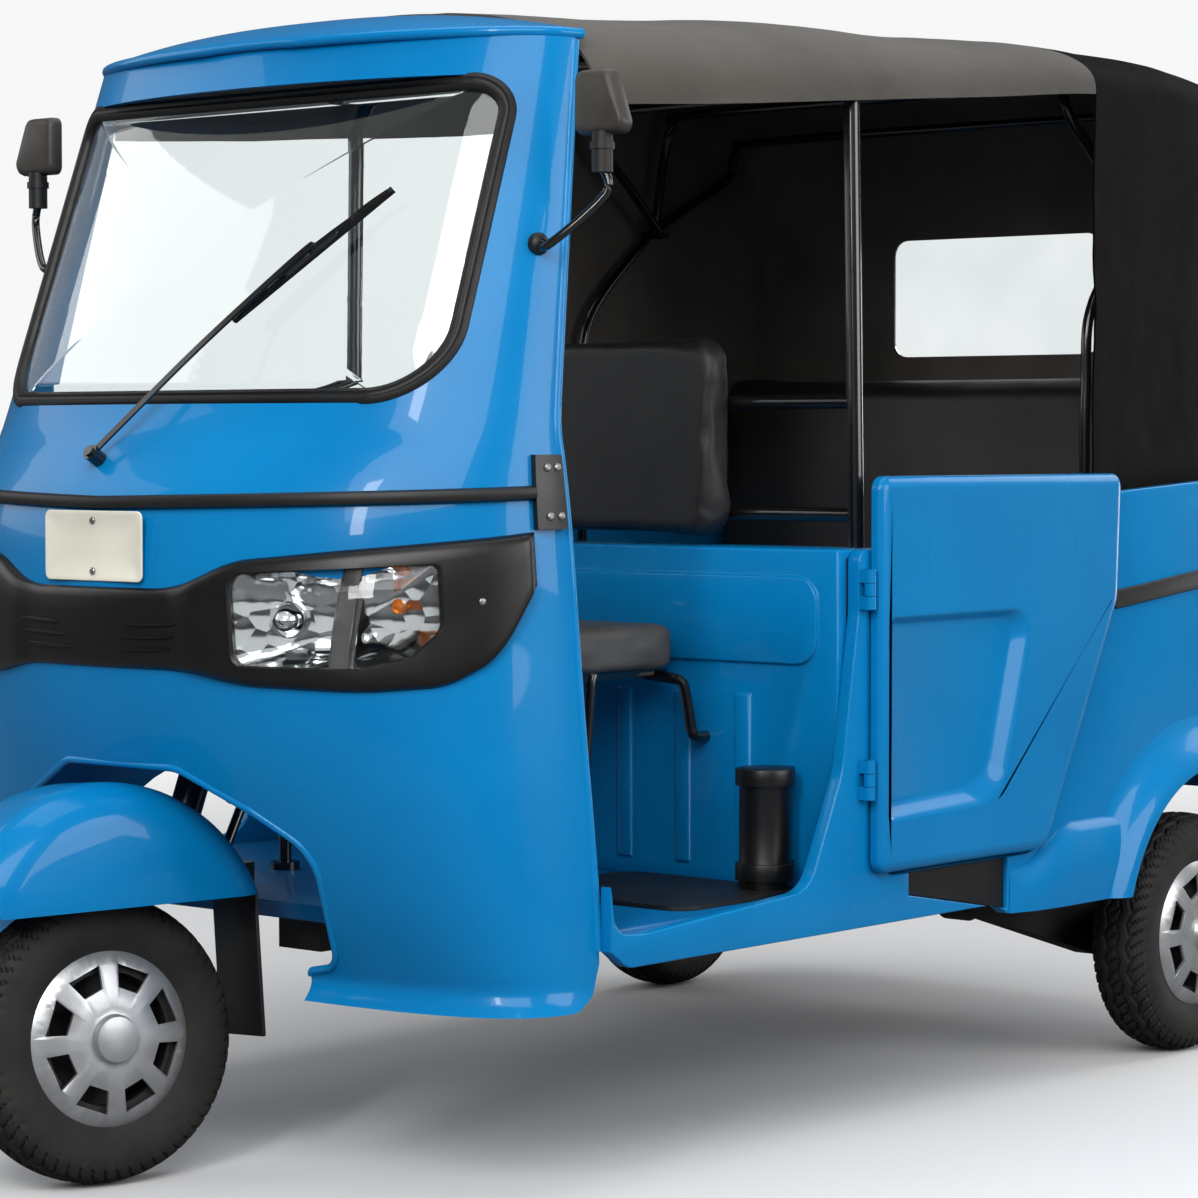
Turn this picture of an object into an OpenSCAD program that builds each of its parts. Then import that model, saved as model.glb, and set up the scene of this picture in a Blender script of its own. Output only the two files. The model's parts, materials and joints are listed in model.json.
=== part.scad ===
// Three-wheeled passenger auto rickshaw: painted body, fabric hood, two half doors.
// All lengths are in millimetres. Every module is drawn with its stations (y)
// measured backwards from the front axle; the last lines centre the whole.

/* [Overall] */
// Distance between the front and the rear axle
wheelbase = 1985; // [1900:5:2100]
// Width over the rear wheel arches
body_w = 1329; // [1300:1:1360]
// Length of the body behind the rear axle
rear_overhang = 403; // [380:1:440]
// Thickness of the body walls
wall = 20; // [14:1:26]
// Gap between pieces that are seated on each other
seat_gap = 0.3; // [0.1:0.1:0.5]
// Gap around the pieces that move
move_gap = 5; // [5:0.5:8]

/* [Wheels] */
// Outer diameter of the tyres
tyre_d = 414; // [400:1:424]
// Width of the tyres
tyre_w = 108; // [100:1:114]
// Diameter at the tyre's bead
bead_d = 208; // [203:1:214]
// Distance between the two rear wheels
rear_track = 1150; // [1120:1:1170]
// Diameter of the wheel cover
cover_d = 250; // [240:1:256]
// Number of windows in the wheel cover
cover_windows = 8; // [5:1:10]
// Diameter of the stub axles
axle_d = 34; // [28:1:40]

/* [Steering] */
// Backward lean of the steering column
rake = 22; // [16:1:26]
// Steering angle to the right at which the front wheel stands
steer_rest = 14; // [0:1:20]
// Distance of the column's line behind the front axle, at axle height
column_lag = 44; // [30:1:60]
// Diameter of the steering column
column_d = 48; // [40:1:54]
// Height of the handlebar's clamp above the ground
bar_h = 985; // [960:1:1005]
// Width over the handlebar's grips
bar_w = 560; // [500:5:600]

/* [Front mudguard] */
// Radius of the mudguard's crown
guard_r = 262; // [250:1:266]
// Height of the mudguard's centre above the ground
guard_h = 312; // [300:1:325]
// Width of the mudguard
guard_w = 220; // [200:1:230]
// Height of the mudguard's lower edge
guard_edge = 395; // [385:1:410]

/* [Cab front] */
// Height of the lower lip of the cab front
lip_h = 265; // [250:1:285]
// Height of the frame's top, under the roof cap
frame_h = 1640; // [1620:1:1655]
// Half width of the wheel arch in the cab front
arch_half = 238; // [230:1:260]
// Height of the wheel arch in the cab front
arch_h = 598; // [592:1:620]
// Height of the windscreen's lower edge
screen_low = 1116; // [1100:1:1140]
// Height of the windscreen's upper edge
screen_top = 1584; // [1560:1:1595]
// Half width of the windscreen at its lower edge
screen_half_low = 462; // [440:1:475]
// Half width of the windscreen at its upper edge
screen_half_top = 416; // [400:1:425]
// Width of the windscreen's rubber
rubber_w = 26; // [18:1:32]
// Thickness of the windscreen
glass_t = 6; // [5:0.5:8]

/* [Cabin] */
// Height of the floor's upper face
floor_h = 372; // [360:1:385]
// Thickness of the floor
floor_t = 25; // [18:1:30]
// Station of the driver's partition
partition_y = 960; // [940:1:975]
// Height of the partition
partition_h = 897; // [880:1:915]
// Height of the shelf under the passenger seat
shelf_h = 600; // [590:1:620]
// Station of the passenger seat's front wall
shelf_y = 1560; // [1545:1:1580]
// Height of the body sides' upper edge, at the rear axle
waist_h = 993; // [980:1:1005]

/* [Doors] */
// Station of the door's front edge
door_front = 1010; // [1005:1:1020]
// Length of the door along its upper edge
door_l = 672; // [650:1:690]
// Height of the door's lower edge
door_low = 400; // [395:1:412]
// Height of the door's upper edge
door_top = 1009; // [990:1:1020]
// Thickness of the doors
door_t = 22; // [16:1:26]
// Radius of the hinge knuckles
knuckle_r = 9; // [8:0.5:10]
// Radius of the hinge pins
pin_r = 4; // [3:0.5:5]

/* [Hood] */
// Thickness of the hood
hood_t = 8; // [6:1:12]
// Station of the joint between the front and the rear hood
hood_joint = 1690; // [1670:1:1710]
// Station of the hood's rear wall
hood_rear = 2262; // [2240:1:2280]
// Diameter of the hood's tubes
tube_d = 26; // [22:1:30]

/* [Rear] */
// Radius of the wheel arch lip
lip_r = 296; // [285:1:305]
// Radius at which the arch flare meets the body side
flare_r = 385; // [360:1:395]
// Height of the body sides' lower edge
sill_low = 300; // [290:1:312]
// Half width of the tail lid
lid_half = 300; // [260:1:320]
// Height of the tail lid's opening
lid_low = 480; // [460:1:500]
// Height of the tail lid's hinge
lid_top = 745; // [720:1:760]

/* [Hidden] */
$fn = 64;

tyre_r = tyre_d / 2;
axle_r = axle_d / 2;
column_r = column_d / 2;
tube_r = tube_d / 2;
track_half = rear_track / 2;
flare_x = body_w / 2;
flare_out = 42;
side_x = flare_x - flare_out;
side_t = 22;
inner_x = side_x - side_t;
tail_y = wheelbase + rear_overhang;
corner_r = 110;
side_end = tail_y - corner_r;
crown_half = 15;

// Steering axis: a point on it, its direction and the swing of the stored pose
axis_dir = [0, sin(rake), cos(rake)];
axle_dir = [cos(steer_rest), -axis_dir[2] * sin(steer_rest), axis_dir[1] * sin(steer_rest)];
axle_sink = column_lag * axis_dir[1] * axis_dir[2] * (1 - cos(steer_rest));
front_axle_h = axle_sink + crown_half * axle_dir[2] + tyre_r * norm([axle_dir[0], axle_dir[1]]);
axis_point = [0, column_lag, front_axle_h];
function on_axis(z) = [0, column_lag + (z - front_axle_h) * tan(rake), z];

// Reach of the mudguard ahead of the front axle, as it stands
guard_reach = sqrt(pow(guard_r, 2) - pow(guard_edge - guard_h, 2));
front_overhang = 246.5;
tail_lamp_t = 12;
centre_y = (tail_y + tail_lamp_t - front_overhang) / 2;

// Cab front by horizontal sections
// columns: height, station of the nose, station of the rear edge, half width, power
front_rows = [
  [lip_h, 212, 402, inner_x, 3.6],
  [300, 190, 402, inner_x + 2, 3.4],
  [400, 132, 400, inner_x - 2, 2.9],
  [520, 75, 396, inner_x - 10, 2.5],
  [650, 25, 390, inner_x - 19, 2.2],
  [780, 0, 385, inner_x - 27, 2.0],
  [900, 0, 381, inner_x - 34, 2.0],
  [980, 15, 378, inner_x - 40, 2.0],
  [1040, 52, 376, inner_x - 47, 2.0],
  [1085, 86, 375, inner_x - 53, 2.0],
  [1150, 116, 386, inner_x - 60, 2.0],
  [1400, 217, 437, inner_x - 88, 2.0],
  [frame_h, 314, 486, inner_x - 115, 2.0]];
front_step = 5;

// Smooth curve through one column of the sections
function front_slope(i, c) = let (a = max(i - 1, 0), b = min(i + 1, len(front_rows) - 1))
  (front_rows[b][c] - front_rows[a][c]) / (front_rows[b][0] - front_rows[a][0]);
function front_col(z, c) =
  let (i = max([0, for (k = [0:len(front_rows) - 2]) if (z >= front_rows[k][0]) k]),
       h = front_rows[i + 1][0] - front_rows[i][0], t = (z - front_rows[i][0]) / h)
  front_rows[i][c] * (1 + 2 * t) * pow(1 - t, 2) + front_rows[i + 1][c] * t * t * (3 - 2 * t) +
  h * t * pow(1 - t, 2) * front_slope(i, c) + h * t * t * (t - 1) * front_slope(i + 1, c);
// Heights at which the cab front is drawn: close together on the cowl, one step at the windscreen
cowl_top = 1085;
front_heights = concat([for (k = [0:18]) lip_h + (cowl_top - lip_h) * k / 18], [1110, 1160, 1350, frame_h]);

// Point of the cab front at a height and a turn about the cab, moved outwards
function front_point(z, turn, out) =
  let (nose = front_col(z, 1) - out, rear = front_col(z, 2),
       half = front_col(z, 3) + out, p = 2 / front_col(z, 4))
  [half * sign(turn) * pow(abs(sin(turn)), p),
   rear - (rear - nose) * pow(abs(cos(turn)), p), z];

// Hood by cross sections
// columns: station, half width, height of the hem, height of the crown
hood_rows = [
  [500, 512, 1545, 1704], [750, 545, 1561, 1722], [1070, 572, 1588, 1740],
  [1400, 585, 1616, 1752], [hood_joint, 592, 1641, 1758], [1950, 592, 1641, 1756],
  [2100, 588, 1630, 1744], [2190, 580, 1605, 1716], [hood_rear, 566, 1540, 1662]];
function hood_col(y, c) = lookup(y, [for (r = hood_rows) [r[0], r[c]]]);
hood_power = 2 / 2.7;
function hood_point(y, turn, out) =
  let (hem = hood_col(y, 2))
  [(hood_col(y, 1) + out) * sign(turn) * pow(abs(sin(turn)), hood_power), y,
   hem + (hood_col(y, 3) + out - hem) * pow(abs(cos(turn)), hood_power)];

// Outline with rounded corners, each corner given as [x, y, radius]
function unit2(v) = v / norm(v);
function corner(a, p, b, n) =
  p[2] == 0 ? [[p[0], p[1]]] :
  let (q = [p[0], p[1]], u = unit2([a[0], a[1]] - q), v = unit2([b[0], b[1]] - q),
       half = acos(max(-1, min(1, u * v))) / 2,
       c = q + unit2(u + v) * p[2] / sin(half),
       s = q + u * p[2] / tan(half) - c, e = q + v * p[2] / tan(half) - c,
       a0 = atan2(s[1], s[0]), d = atan2(e[1], e[0]) - a0,
       turn = d > 180 ? d - 360 : d < -180 ? d + 360 : d)
  [for (i = [0:n]) c + p[2] * [cos(a0 + turn * i / n), sin(a0 + turn * i / n)]];
function rounded(pts, n = 5) =
  let (m = len(pts))
  [for (i = [0:m - 1]) each corner(pts[(i + m - 1) % m], pts[i], pts[(i + 1) % m], n)];

// Sheet with a thickness between two equal grids of points
module thick_sheet(outer, inner) {
  rows = len(outer);
  cols = len(outer[0]);
  n = rows * cols;
  function o(k, i) = k * cols + i;
  function u(k, i) = n + k * cols + i;
  faces = concat(
    [for (k = [0:rows - 2]) for (i = [0:cols - 2]) each [
      [o(k, i), o(k + 1, i), o(k + 1, i + 1)], [o(k, i), o(k + 1, i + 1), o(k, i + 1)],
      [u(k, i), u(k, i + 1), u(k + 1, i + 1)], [u(k, i), u(k + 1, i + 1), u(k + 1, i)]]],
    [for (i = [0:cols - 2]) each [
      [o(0, i), o(0, i + 1), u(0, i + 1)], [o(0, i), u(0, i + 1), u(0, i)],
      [o(rows - 1, i), u(rows - 1, i), u(rows - 1, i + 1)],
      [o(rows - 1, i), u(rows - 1, i + 1), o(rows - 1, i + 1)]]],
    [for (k = [0:rows - 2]) each [
      [o(k, 0), u(k, 0), u(k + 1, 0)], [o(k, 0), u(k + 1, 0), o(k + 1, 0)],
      [o(k, cols - 1), o(k + 1, cols - 1), u(k + 1, cols - 1)],
      [o(k, cols - 1), u(k + 1, cols - 1), u(k, cols - 1)]]]);
  polyhedron(points = concat([for (r = outer) each r], [for (r = inner) each r]), faces = faces);
}

// Skin that follows the cab front between two turns, with limits given by height tables
module front_skin(turns, lows, tops, out, in, bands) {
  function grid(off) = [for (k = [0:bands]) [for (t = turns)
    front_point(lookup(t, lows) + (lookup(t, tops) - lookup(t, lows)) * k / bands, t, off)]];
  thick_sheet(grid(out), grid(in));
}

// Solid room inside the cab front, kept off its inner face
module front_core(z0, z1, gap) {
  heights = concat([z0], [for (z = front_heights) if (z > z0 && z < z1) z], [z1]);
  turns = [-90:front_step:90];
  back = [for (z = heights) [for (t = turns) let (p = front_point(z, t, -wall - gap)) [p[0], 402, z]]];
  thick_sheet([for (z = heights) [for (t = turns) front_point(z, t, -wall - gap)]],
    [for (r = back) [for (i = [0:len(r) - 1]) r[i] + [0, 1, 0]]]);
}

// Plate standing along the vehicle, drawn by its side view
module side_plate(x0, t) translate([x0, 0, 0]) rotate([90, 0, 90]) linear_extrude(t) children();

// Plate standing across the vehicle, drawn by its front view
module cross_plate(y0, t) translate([0, y0 + t, 0]) rotate([90, 0, 0]) linear_extrude(t) children();

// Round bar between two points
module bar(a, b, r) {
  d = b - a;
  translate(a) rotate([0, acos(d[2] / norm(d)), atan2(d[1], d[0])]) cylinder(r = r, h = norm(d));
}

// Path with its inner corners eased over a length on each side
function unit(v) = v / norm(v);
function eased(path, ease, n = 4) = concat([path[0]],
  [for (i = [1:len(path) - 2])
    let (p = path[i], s = p + unit(path[i - 1] - p) * ease, e = p + unit(path[i + 1] - p) * ease)
    each [for (k = [0:n]) let (t = k / n) s * pow(1 - t, 2) + p * 2 * t * (1 - t) + e * t * t]],
  [path[len(path) - 1]]);

// Bent tube along a path, with its rings turned about a direction that the path never takes
tube_sides = 10;
module bent_tube(path, r, across) {
  last = len(path) - 1;
  function heading(i) = unit((i < last ? unit(path[i + 1] - path[i]) : [0, 0, 0]) +
    (i > 0 ? unit(path[i] - path[i - 1]) : [0, 0, 0]));
  function ring(i) = let (d = heading(i), u = unit(cross(across, d)), v = cross(d, u))
    [for (k = [0:tube_sides - 1]) path[i] + r * (u * cos(k * 360 / tube_sides) + v * sin(k * 360 / tube_sides))];
  function at(i, k) = i * tube_sides + k % tube_sides;
  polyhedron(points = [for (i = [0:last]) each ring(i)], faces = concat(
    [for (i = [0:last - 1]) for (k = [0:tube_sides - 1]) each [
      [at(i, k), at(i + 1, k), at(i + 1, k + 1)], [at(i, k), at(i + 1, k + 1), at(i, k + 1)]]],
    [for (k = [1:tube_sides - 2]) each [[at(0, 0), at(0, k), at(0, k + 1)], [at(last, 0), at(last, k + 1), at(last, k)]]]));
}

module both_sides() {
  children();
  mirror([1, 0, 0]) children();
}

// Turns the steered pieces to the stored pose
module steered() translate(axis_point) rotate(a = -steer_rest, v = axis_dir) translate(-axis_point) children();

module along_x() rotate([0, 90, 0]) children();

// Outline of the windscreen in the front view, grown by a margin
module screen_outline(grow) polygon(rounded([
  [-screen_half_low - grow, screen_low - grow, 105 + grow], [screen_half_low + grow, screen_low - grow, 105 + grow],
  [screen_half_top + grow, screen_top + grow, 62 + grow], [-screen_half_top - grow, screen_top + grow, 62 + grow]], 6));

module screen_cut(grow) cross_plate(-60, 640) screen_outline(grow);

// Sizes of the front plate
plate_w = 205;
plate_h = 100;
plate_t = 3;
plate_z = 914;
plate_hole_r = 3.5;
plate_hole_step = 72;
plate_y = min([for (z = [plate_z - plate_h / 2:4:plate_z + plate_h / 2]) front_col(z, 1)]) - seat_gap - plate_t;
module plate_holes() for (s = [-1, 1]) translate([0, 60, plate_z + s * plate_hole_step / 2])
  rotate([90, 0, 0]) cylinder(r = plate_hole_r, h = 120);

module front_shell() color([0.05, 0.5, 0.8]) difference() {
  thick_sheet([for (z = front_heights) [for (t = [-90:front_step:90]) front_point(z, t, 0)]],
    [for (z = front_heights) [for (t = [-90:front_step:90]) front_point(z, t, -wall)]]);
  screen_cut(0);
  cross_plate(-60, 420) polygon(rounded([[-arch_half, lip_h - 20, 0], [arch_half, lip_h - 20, 0],
    [arch_half, 440, 60], [165, arch_h, 80], [-165, arch_h, 80], [-arch_half, 440, 60]]));
  plate_holes();
}

module roof_cap() {
  nose = front_col(frame_h, 1) - 8;
  rear = hood_rows[0][0] - seat_gap;
  half = front_col(frame_h, 3) + 8;
  cap_t = 12;
  low = frame_h + seat_gap;
  function cap(t, s, up) = let (w = half * sqrt(1 - pow(1 - t, 2)))
    [w * s, nose + (rear - nose) * t, low + up + 46 * (1 - pow(1 - t, 2)) * (1 - pow(abs(s), 2.4))];
  function grid(up) = [for (t = [0.04, 0.14, 0.3, 0.5, 0.75, 1]) [for (s = [-1:0.125:1]) cap(t, s, up)]];
  color([0.05, 0.5, 0.8]) thick_sheet(grid(cap_t), grid(0));
}

house_half = arch_half + 14;
house_rear = 320;
house_top = 640;
house_t = 12;
module wheel_house() color([0.06, 0.06, 0.06]) difference() {
  intersection() {
    translate([0, 0, 290]) linear_extrude(house_top - 290) polygon(rounded([
      [-house_half, 20, 0], [house_half, 20, 0], [house_half, house_rear, 70], [-house_half, house_rear, 70]]));
    front_core(280, house_top + 10, seat_gap);
  }
  translate([0, 0, 280]) linear_extrude(house_top - house_t - 280) polygon(rounded([
    [-house_half + house_t, 0, 0], [house_half - house_t, 0, 0],
    [house_half - house_t, house_rear - house_t, 58], [-house_half + house_t, house_rear - house_t, 58]]));
  bar(on_axis(580), on_axis(700), column_r + move_gap + 4);
}

module steering_head() color([0.06, 0.06, 0.06]) difference() {
  union() {
    bar(on_axis(house_top - 20), on_axis(900), column_r + 9);
    intersection() {
      translate([-30, 0, 790]) cube([60, on_axis(820)[1], 60]);
      front_core(700, 980, seat_gap);
    }
  }
  bar(on_axis(560), on_axis(960), column_r + seat_gap);
  translate([-100, 0, house_top + seat_gap - 100]) cube([200, 400, 100]);
}

module windscreen() color([0.8, 0.88, 0.9]) intersection() {
  front_skin([-90:front_step:90], [[-90, screen_low - 20], [90, screen_low - 20]],
    [[-90, screen_top + 20], [90, screen_top + 20]], -6, -6 - glass_t, 1);
  screen_cut(-rubber_w + 8 - seat_gap);
}

module windscreen_rubber() color([0.05, 0.05, 0.05]) difference() {
  intersection() {
    front_skin([-90:front_step:90], [[-90, screen_low - 20], [90, screen_low - 20]],
      [[-90, screen_top + 20], [90, screen_top + 20]], 5, -wall, 1);
    screen_cut(-seat_gap);
  }
  screen_cut(-rubber_w + 8);
}

// Heights of the lamp mask's edges by the turn about the cab
mask_low = [[0, 741], [15, 741], [20, 733], [25, 722], [45, 716], [60, 724], [70, 760], [80, 872]];
mask_top = [[0, 856], [15, 856], [20, 874], [25, 897], [45, 914], [60, 924], [70, 930], [80, 937]];
mask_out = 16;
// Gap under the pieces that follow the cab front's curve
skin_gap = 0.9;
function both_turns(table) = concat([for (i = [len(table) - 1:-1:1]) [-table[i][0], table[i][1]]], table);
// Heights of the lamp's edges by the turn about the cab
lamp_low = [[25, 750], [45, 748], [55, 768], [60, 800]];
lamp_top = [[25, 880], [45, 890], [60, 895]];

module lamp_mask() color([0.04, 0.04, 0.04]) difference() {
  front_skin([-80:front_step:80], both_turns(mask_low), both_turns(mask_top), mask_out, skin_gap, 4);
  both_sides() front_skin([25:front_step:60], lamp_low, lamp_top, mask_out + 20, -15, 2);
}

module headlamps() color([0.85, 0.87, 0.9]) both_sides()
  front_skin([25.4, 30, 35, 40, 45, 50, 55, 59.6], [for (r = lamp_low) r + [0, 1]], [for (r = lamp_top) r - [0, 1]],
    mask_out - 3, skin_gap, 3);

module front_strip() color([0.05, 0.05, 0.05]) {
  front_skin([-80:front_step:80], [[-80, 982], [0, 966], [80, 982]], [[-80, 1000], [0, 984], [80, 1000]], 14, skin_gap, 1);
  both_sides() front_skin([80, 85, 88], [[80, 940], [88, 940]], [[80, 1044], [88, 1044]], 11, skin_gap, 2);
}

module front_plate() color([0.9, 0.88, 0.8]) difference() {
  translate([-plate_w / 2, plate_y, plate_z - plate_h / 2]) cube([plate_w, plate_t, plate_h]);
  plate_holes();
}

// Wiper: foot on the cowl, blade ahead of the glass
wiper_foot = [-45, 50, 1035];
wiper_up = [0, -0.85, 0.53];
wiper_low = [140, 138, 1234];
wiper_top = [340, 258, 1418];
module wiper() color([0.03, 0.03, 0.03]) {
  middle = (wiper_low + wiper_top) / 2;
  bar(wiper_foot + wiper_up, wiper_foot + 22 * wiper_up, 13);
  bent_tube(eased([wiper_foot + 18 * wiper_up, middle + [0, -16, 0], middle + [2, 0, 3]], 8), 4, [1, 0, -0.3]);
  bar(wiper_low, wiper_top, 6);
}

mirror_foot_h = 1343;
module mirrors() color([0.3, 0.28, 0.26]) both_sides() {
  bent_tube(eased([front_point(mirror_foot_h, 78, 2), front_point(mirror_foot_h, 78, 34), [585, 396, 1385], [612, 402, 1440]], 14),
    7, [0, 1, 0]);
  translate([556, 392, 1420]) rotate([-90, 0, 0]) linear_extrude(34)
    polygon(rounded([[0, 0, 18], [124, 0, 28], [124, -150, 28], [0, -150, 18]]));
}

module dashboard() color([0.05, 0.05, 0.05]) intersection() {
  translate([-500, 0, 1002]) cube([1000, 165, 34]);
  front_core(990, 1060, seat_gap);
}

module floor_pan() color([0.04, 0.42, 0.7]) difference() {
  translate([0, 0, floor_h - floor_t]) linear_extrude(floor_t) polygon([[-560, 345], [560, 345], [560, 404],
    [inner_x - seat_gap, 404], [inner_x - seat_gap, shelf_y + wall], [-inner_x + seat_gap, shelf_y + wall],
    [-inner_x + seat_gap, 404], [-560, 404]]);
}

ledge_d = 140;
post_y = 1079;
post_x = 548;
module partition() color([0.05, 0.5, 0.8]) {
  half = inner_x - seat_gap;
  translate([-half, partition_y, floor_h + seat_gap]) cube([2 * half, wall + 5, partition_h - floor_h - seat_gap]);
  translate([-half, partition_y, partition_h - 15]) cube([2 * half, ledge_d, 15]);
  cross_plate(partition_y - 7, 7.5) polygon(rounded([[-565, 720, 40], [565, 720, 40], [565, 855, 40], [-565, 855, 40]]));
  for (x = [-420:120:420]) translate([x - 14, partition_y - 6, 400]) cube([28, 6.5, 270]);
}

// Side view of the body side: sills, door post and rear quarter
function waist(y) = waist_h + (y - wheelbase) * 0.055;
opening_rear = door_front + door_l + 12;
module side_outline() polygon(rounded([[404, sill_low, 0], [1730, sill_low, 0], [side_end, sill_low, 0],
  [side_end, waist(side_end), 0], [opening_rear, waist(opening_rear), 14], [opening_rear - 8, 800, 60],
  [opening_rear - 225, door_low - 8, 60], [1050, door_low - 8, 30], [1046, partition_h, 8], [985, partition_h, 20],
  [985, 800, 120], [945, 560, 120], [862, floor_h + 16, 60], [404, floor_h + 12, 0]]));

hinge_x = side_x + move_gap + knuckle_r;
hinge_y = door_front - knuckle_r - move_gap - 1;
hinge_heights = [837, 546];
hinge_h = 20;
module body_side() difference() {
  union() {
    side_plate(inner_x, side_t) side_outline();
    // Flare round the rear wheel
    intersection() {
      translate([0, wheelbase, tyre_r]) along_x() rotate_extrude() polygon([[lip_r - 30, inner_x],
        [lip_r - 30, flare_x - 3], [lip_r + 6, flare_x], [lip_r + 22, flare_x - 4], [flare_r - 30, side_x + 6],
        [flare_r, side_x - 1], [flare_r, inner_x]]);
      translate([0, 1000, sill_low]) cube([flare_x + 10, side_end - 1000, 800]);
    }
    // Rocker between the door and the flare
    translate([0, 1730, 0]) rotate([90, 0, 0]) linear_extrude(240)
      polygon([[side_x - 1, sill_low], [side_x + 24, sill_low], [side_x + 26, sill_low + 60], [side_x + 16, sill_low + 112], [side_x - 1, sill_low + 135]]);
    // Fixed hinge knuckles with their pins
    for (z = hinge_heights) {
      translate([hinge_x, hinge_y, z - hinge_h * 1.5]) cylinder(r = pin_r, h = hinge_h * 3);
      for (s = [-1, 1]) translate([0, 0, z + s * (hinge_h + 0.5)]) {
        translate([hinge_x, hinge_y, -hinge_h / 2]) cylinder(r = knuckle_r, h = hinge_h);
        translate([side_x - 1, hinge_y - knuckle_r, -hinge_h / 2]) cube([hinge_x - side_x + 1, knuckle_r, hinge_h]);
      }
    }
  }
  translate([0, wheelbase, tyre_r]) along_x() cylinder(r = lip_r, h = 900);
}
module body_side_left() color([0.05, 0.5, 0.8]) body_side();
module body_side_right() color([0.05, 0.5, 0.8]) mirror([1, 0, 0]) body_side();

module side_strips() color([0.05, 0.05, 0.05]) both_sides() side_plate(side_x + seat_gap, 6)
  polygon(rounded([[opening_rear + 5, 781, 8], [side_end - 4, 838, 8], [side_end - 4, 870, 8], [opening_rear + 9, 813, 8]]));

// Door: outline in the side view
module door_outline(grow) polygon(rounded([[door_front - grow, door_low - grow, 22], [door_front + door_l - 222 + grow, door_low - grow, 40],
  [door_front + door_l - 10 + grow, 799, 60], [door_front + door_l + grow, door_top + grow, 22], [door_front - grow, door_top + grow, 22]]));
door_x = side_x + move_gap;
module door() {
  difference() {
    side_plate(door_x, door_t) door_outline(0);
    side_plate(door_x + door_t - 7, 20) polygon(rounded([[1034, 506, 25], [1299, 506, 40], [1368, 786, 40], [1034, 786, 25]]));
    for (z = hinge_heights) translate([hinge_x, hinge_y, z - hinge_h * 2.2]) cylinder(r = knuckle_r + move_gap, h = hinge_h * 4.4);
  }
  for (z = hinge_heights) translate([0, 0, z - hinge_h / 2]) difference() {
    union() {
      translate([hinge_x, hinge_y, 0.5]) cylinder(r = knuckle_r, h = hinge_h - 1);
      translate([door_x + 1, hinge_y, 0.5]) cube([door_t - 8, door_front - hinge_y + 8, hinge_h - 1]);
    }
    translate([hinge_x, hinge_y, -1]) cylinder(r = pin_r + seat_gap, h = hinge_h + 2);
  }
}
module door_left() color([0.05, 0.5, 0.8]) door();
module door_right() color([0.05, 0.5, 0.8]) mirror([1, 0, 0]) door();

module seat_shelf() color([0.04, 0.42, 0.7]) {
  half = inner_x - seat_gap;
  translate([-half, shelf_y, floor_h + seat_gap]) cube([2 * half, wall, shelf_h - floor_h]);
  translate([-half, shelf_y, shelf_h - 15]) cube([2 * half, tail_y - wall - shelf_y - seat_gap - 90, 15]);
}

// Tail: rounded rear wall with the lid's opening and a deck at the waist
tail_low = 420;
tail_top = waist(side_end);
module tail_outline(inset) polygon(rounded([[-side_x + inset, side_end + seat_gap, 0], [side_x - inset, side_end + seat_gap, 0],
  [side_x - inset, tail_y - inset, corner_r - inset - seat_gap], [-side_x + inset, tail_y - inset, corner_r - inset - seat_gap]], 8));
lid_axis_y = tail_y + 8;
lid_knuckle_r = 6;
lid_pin_r = 3;
lid_knuckles = [-200, 200];
module tail_panel() color([0.05, 0.5, 0.8]) {
  difference() {
    translate([0, 0, tail_low]) linear_extrude(tail_top - tail_low) tail_outline(0);
    translate([0, 0, tail_low - 1]) linear_extrude(tail_top - tail_low - 14) difference() {
      tail_outline(wall);
      translate([-800, tail_y - wall]) square([1600, 100]);
    }
    translate([-side_x + wall, side_end - 10, tail_low - 1]) cube([2 * side_x - 2 * wall, 15, tail_top - tail_low - 14]);
    translate([-lid_half, tail_y - wall - 10, lid_low]) cube([2 * lid_half, wall + 20, lid_top - 2 - lid_low]);
  }
  for (x = lid_knuckles) {
    for (s = [-1, 1]) translate([x + s * 25.5 - 12, 0, lid_top]) {
      translate([0, lid_axis_y, 0]) along_x() cylinder(r = lid_knuckle_r, h = 24);
      translate([0, tail_y - 2, 0]) cube([24, lid_axis_y - tail_y + 2, 14]);
    }
    translate([x - 30, lid_axis_y, lid_top]) along_x() cylinder(r = lid_pin_r, h = 60);
  }
}

lid_t = 12;
module tail_lid() color([0.05, 0.5, 0.8]) {
  cross_plate(tail_y - lid_t - 2, lid_t) polygon(rounded([[-lid_half + move_gap, lid_low + move_gap, 20],
    [lid_half - move_gap, lid_low + move_gap, 20], [lid_half - move_gap, lid_top - 16, 20], [-lid_half + move_gap, lid_top - 16, 20]]));
  for (x = lid_knuckles) difference() {
    translate([x - 12.5, 0, 0]) {
      translate([0, lid_axis_y, lid_top]) along_x() cylinder(r = lid_knuckle_r, h = 25);
      translate([0, tail_y - 3, lid_top - 44]) cube([25, lid_axis_y - tail_y + 3, 28]);
      translate([0, tail_y + 3, lid_top - 30]) cube([25, lid_axis_y - tail_y - 3, 30]);
    }
    translate([x - 20, lid_axis_y, lid_top]) along_x() cylinder(r = lid_pin_r + seat_gap, h = 40);
  }
}

module tail_lamps() color([0.7, 0.05, 0.05]) both_sides()
  cross_plate(tail_y + seat_gap, tail_lamp_t - seat_gap) polygon(rounded([[385, 800, 14], [495, 800, 14], [495, 900, 14], [385, 900, 14]]));

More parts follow.
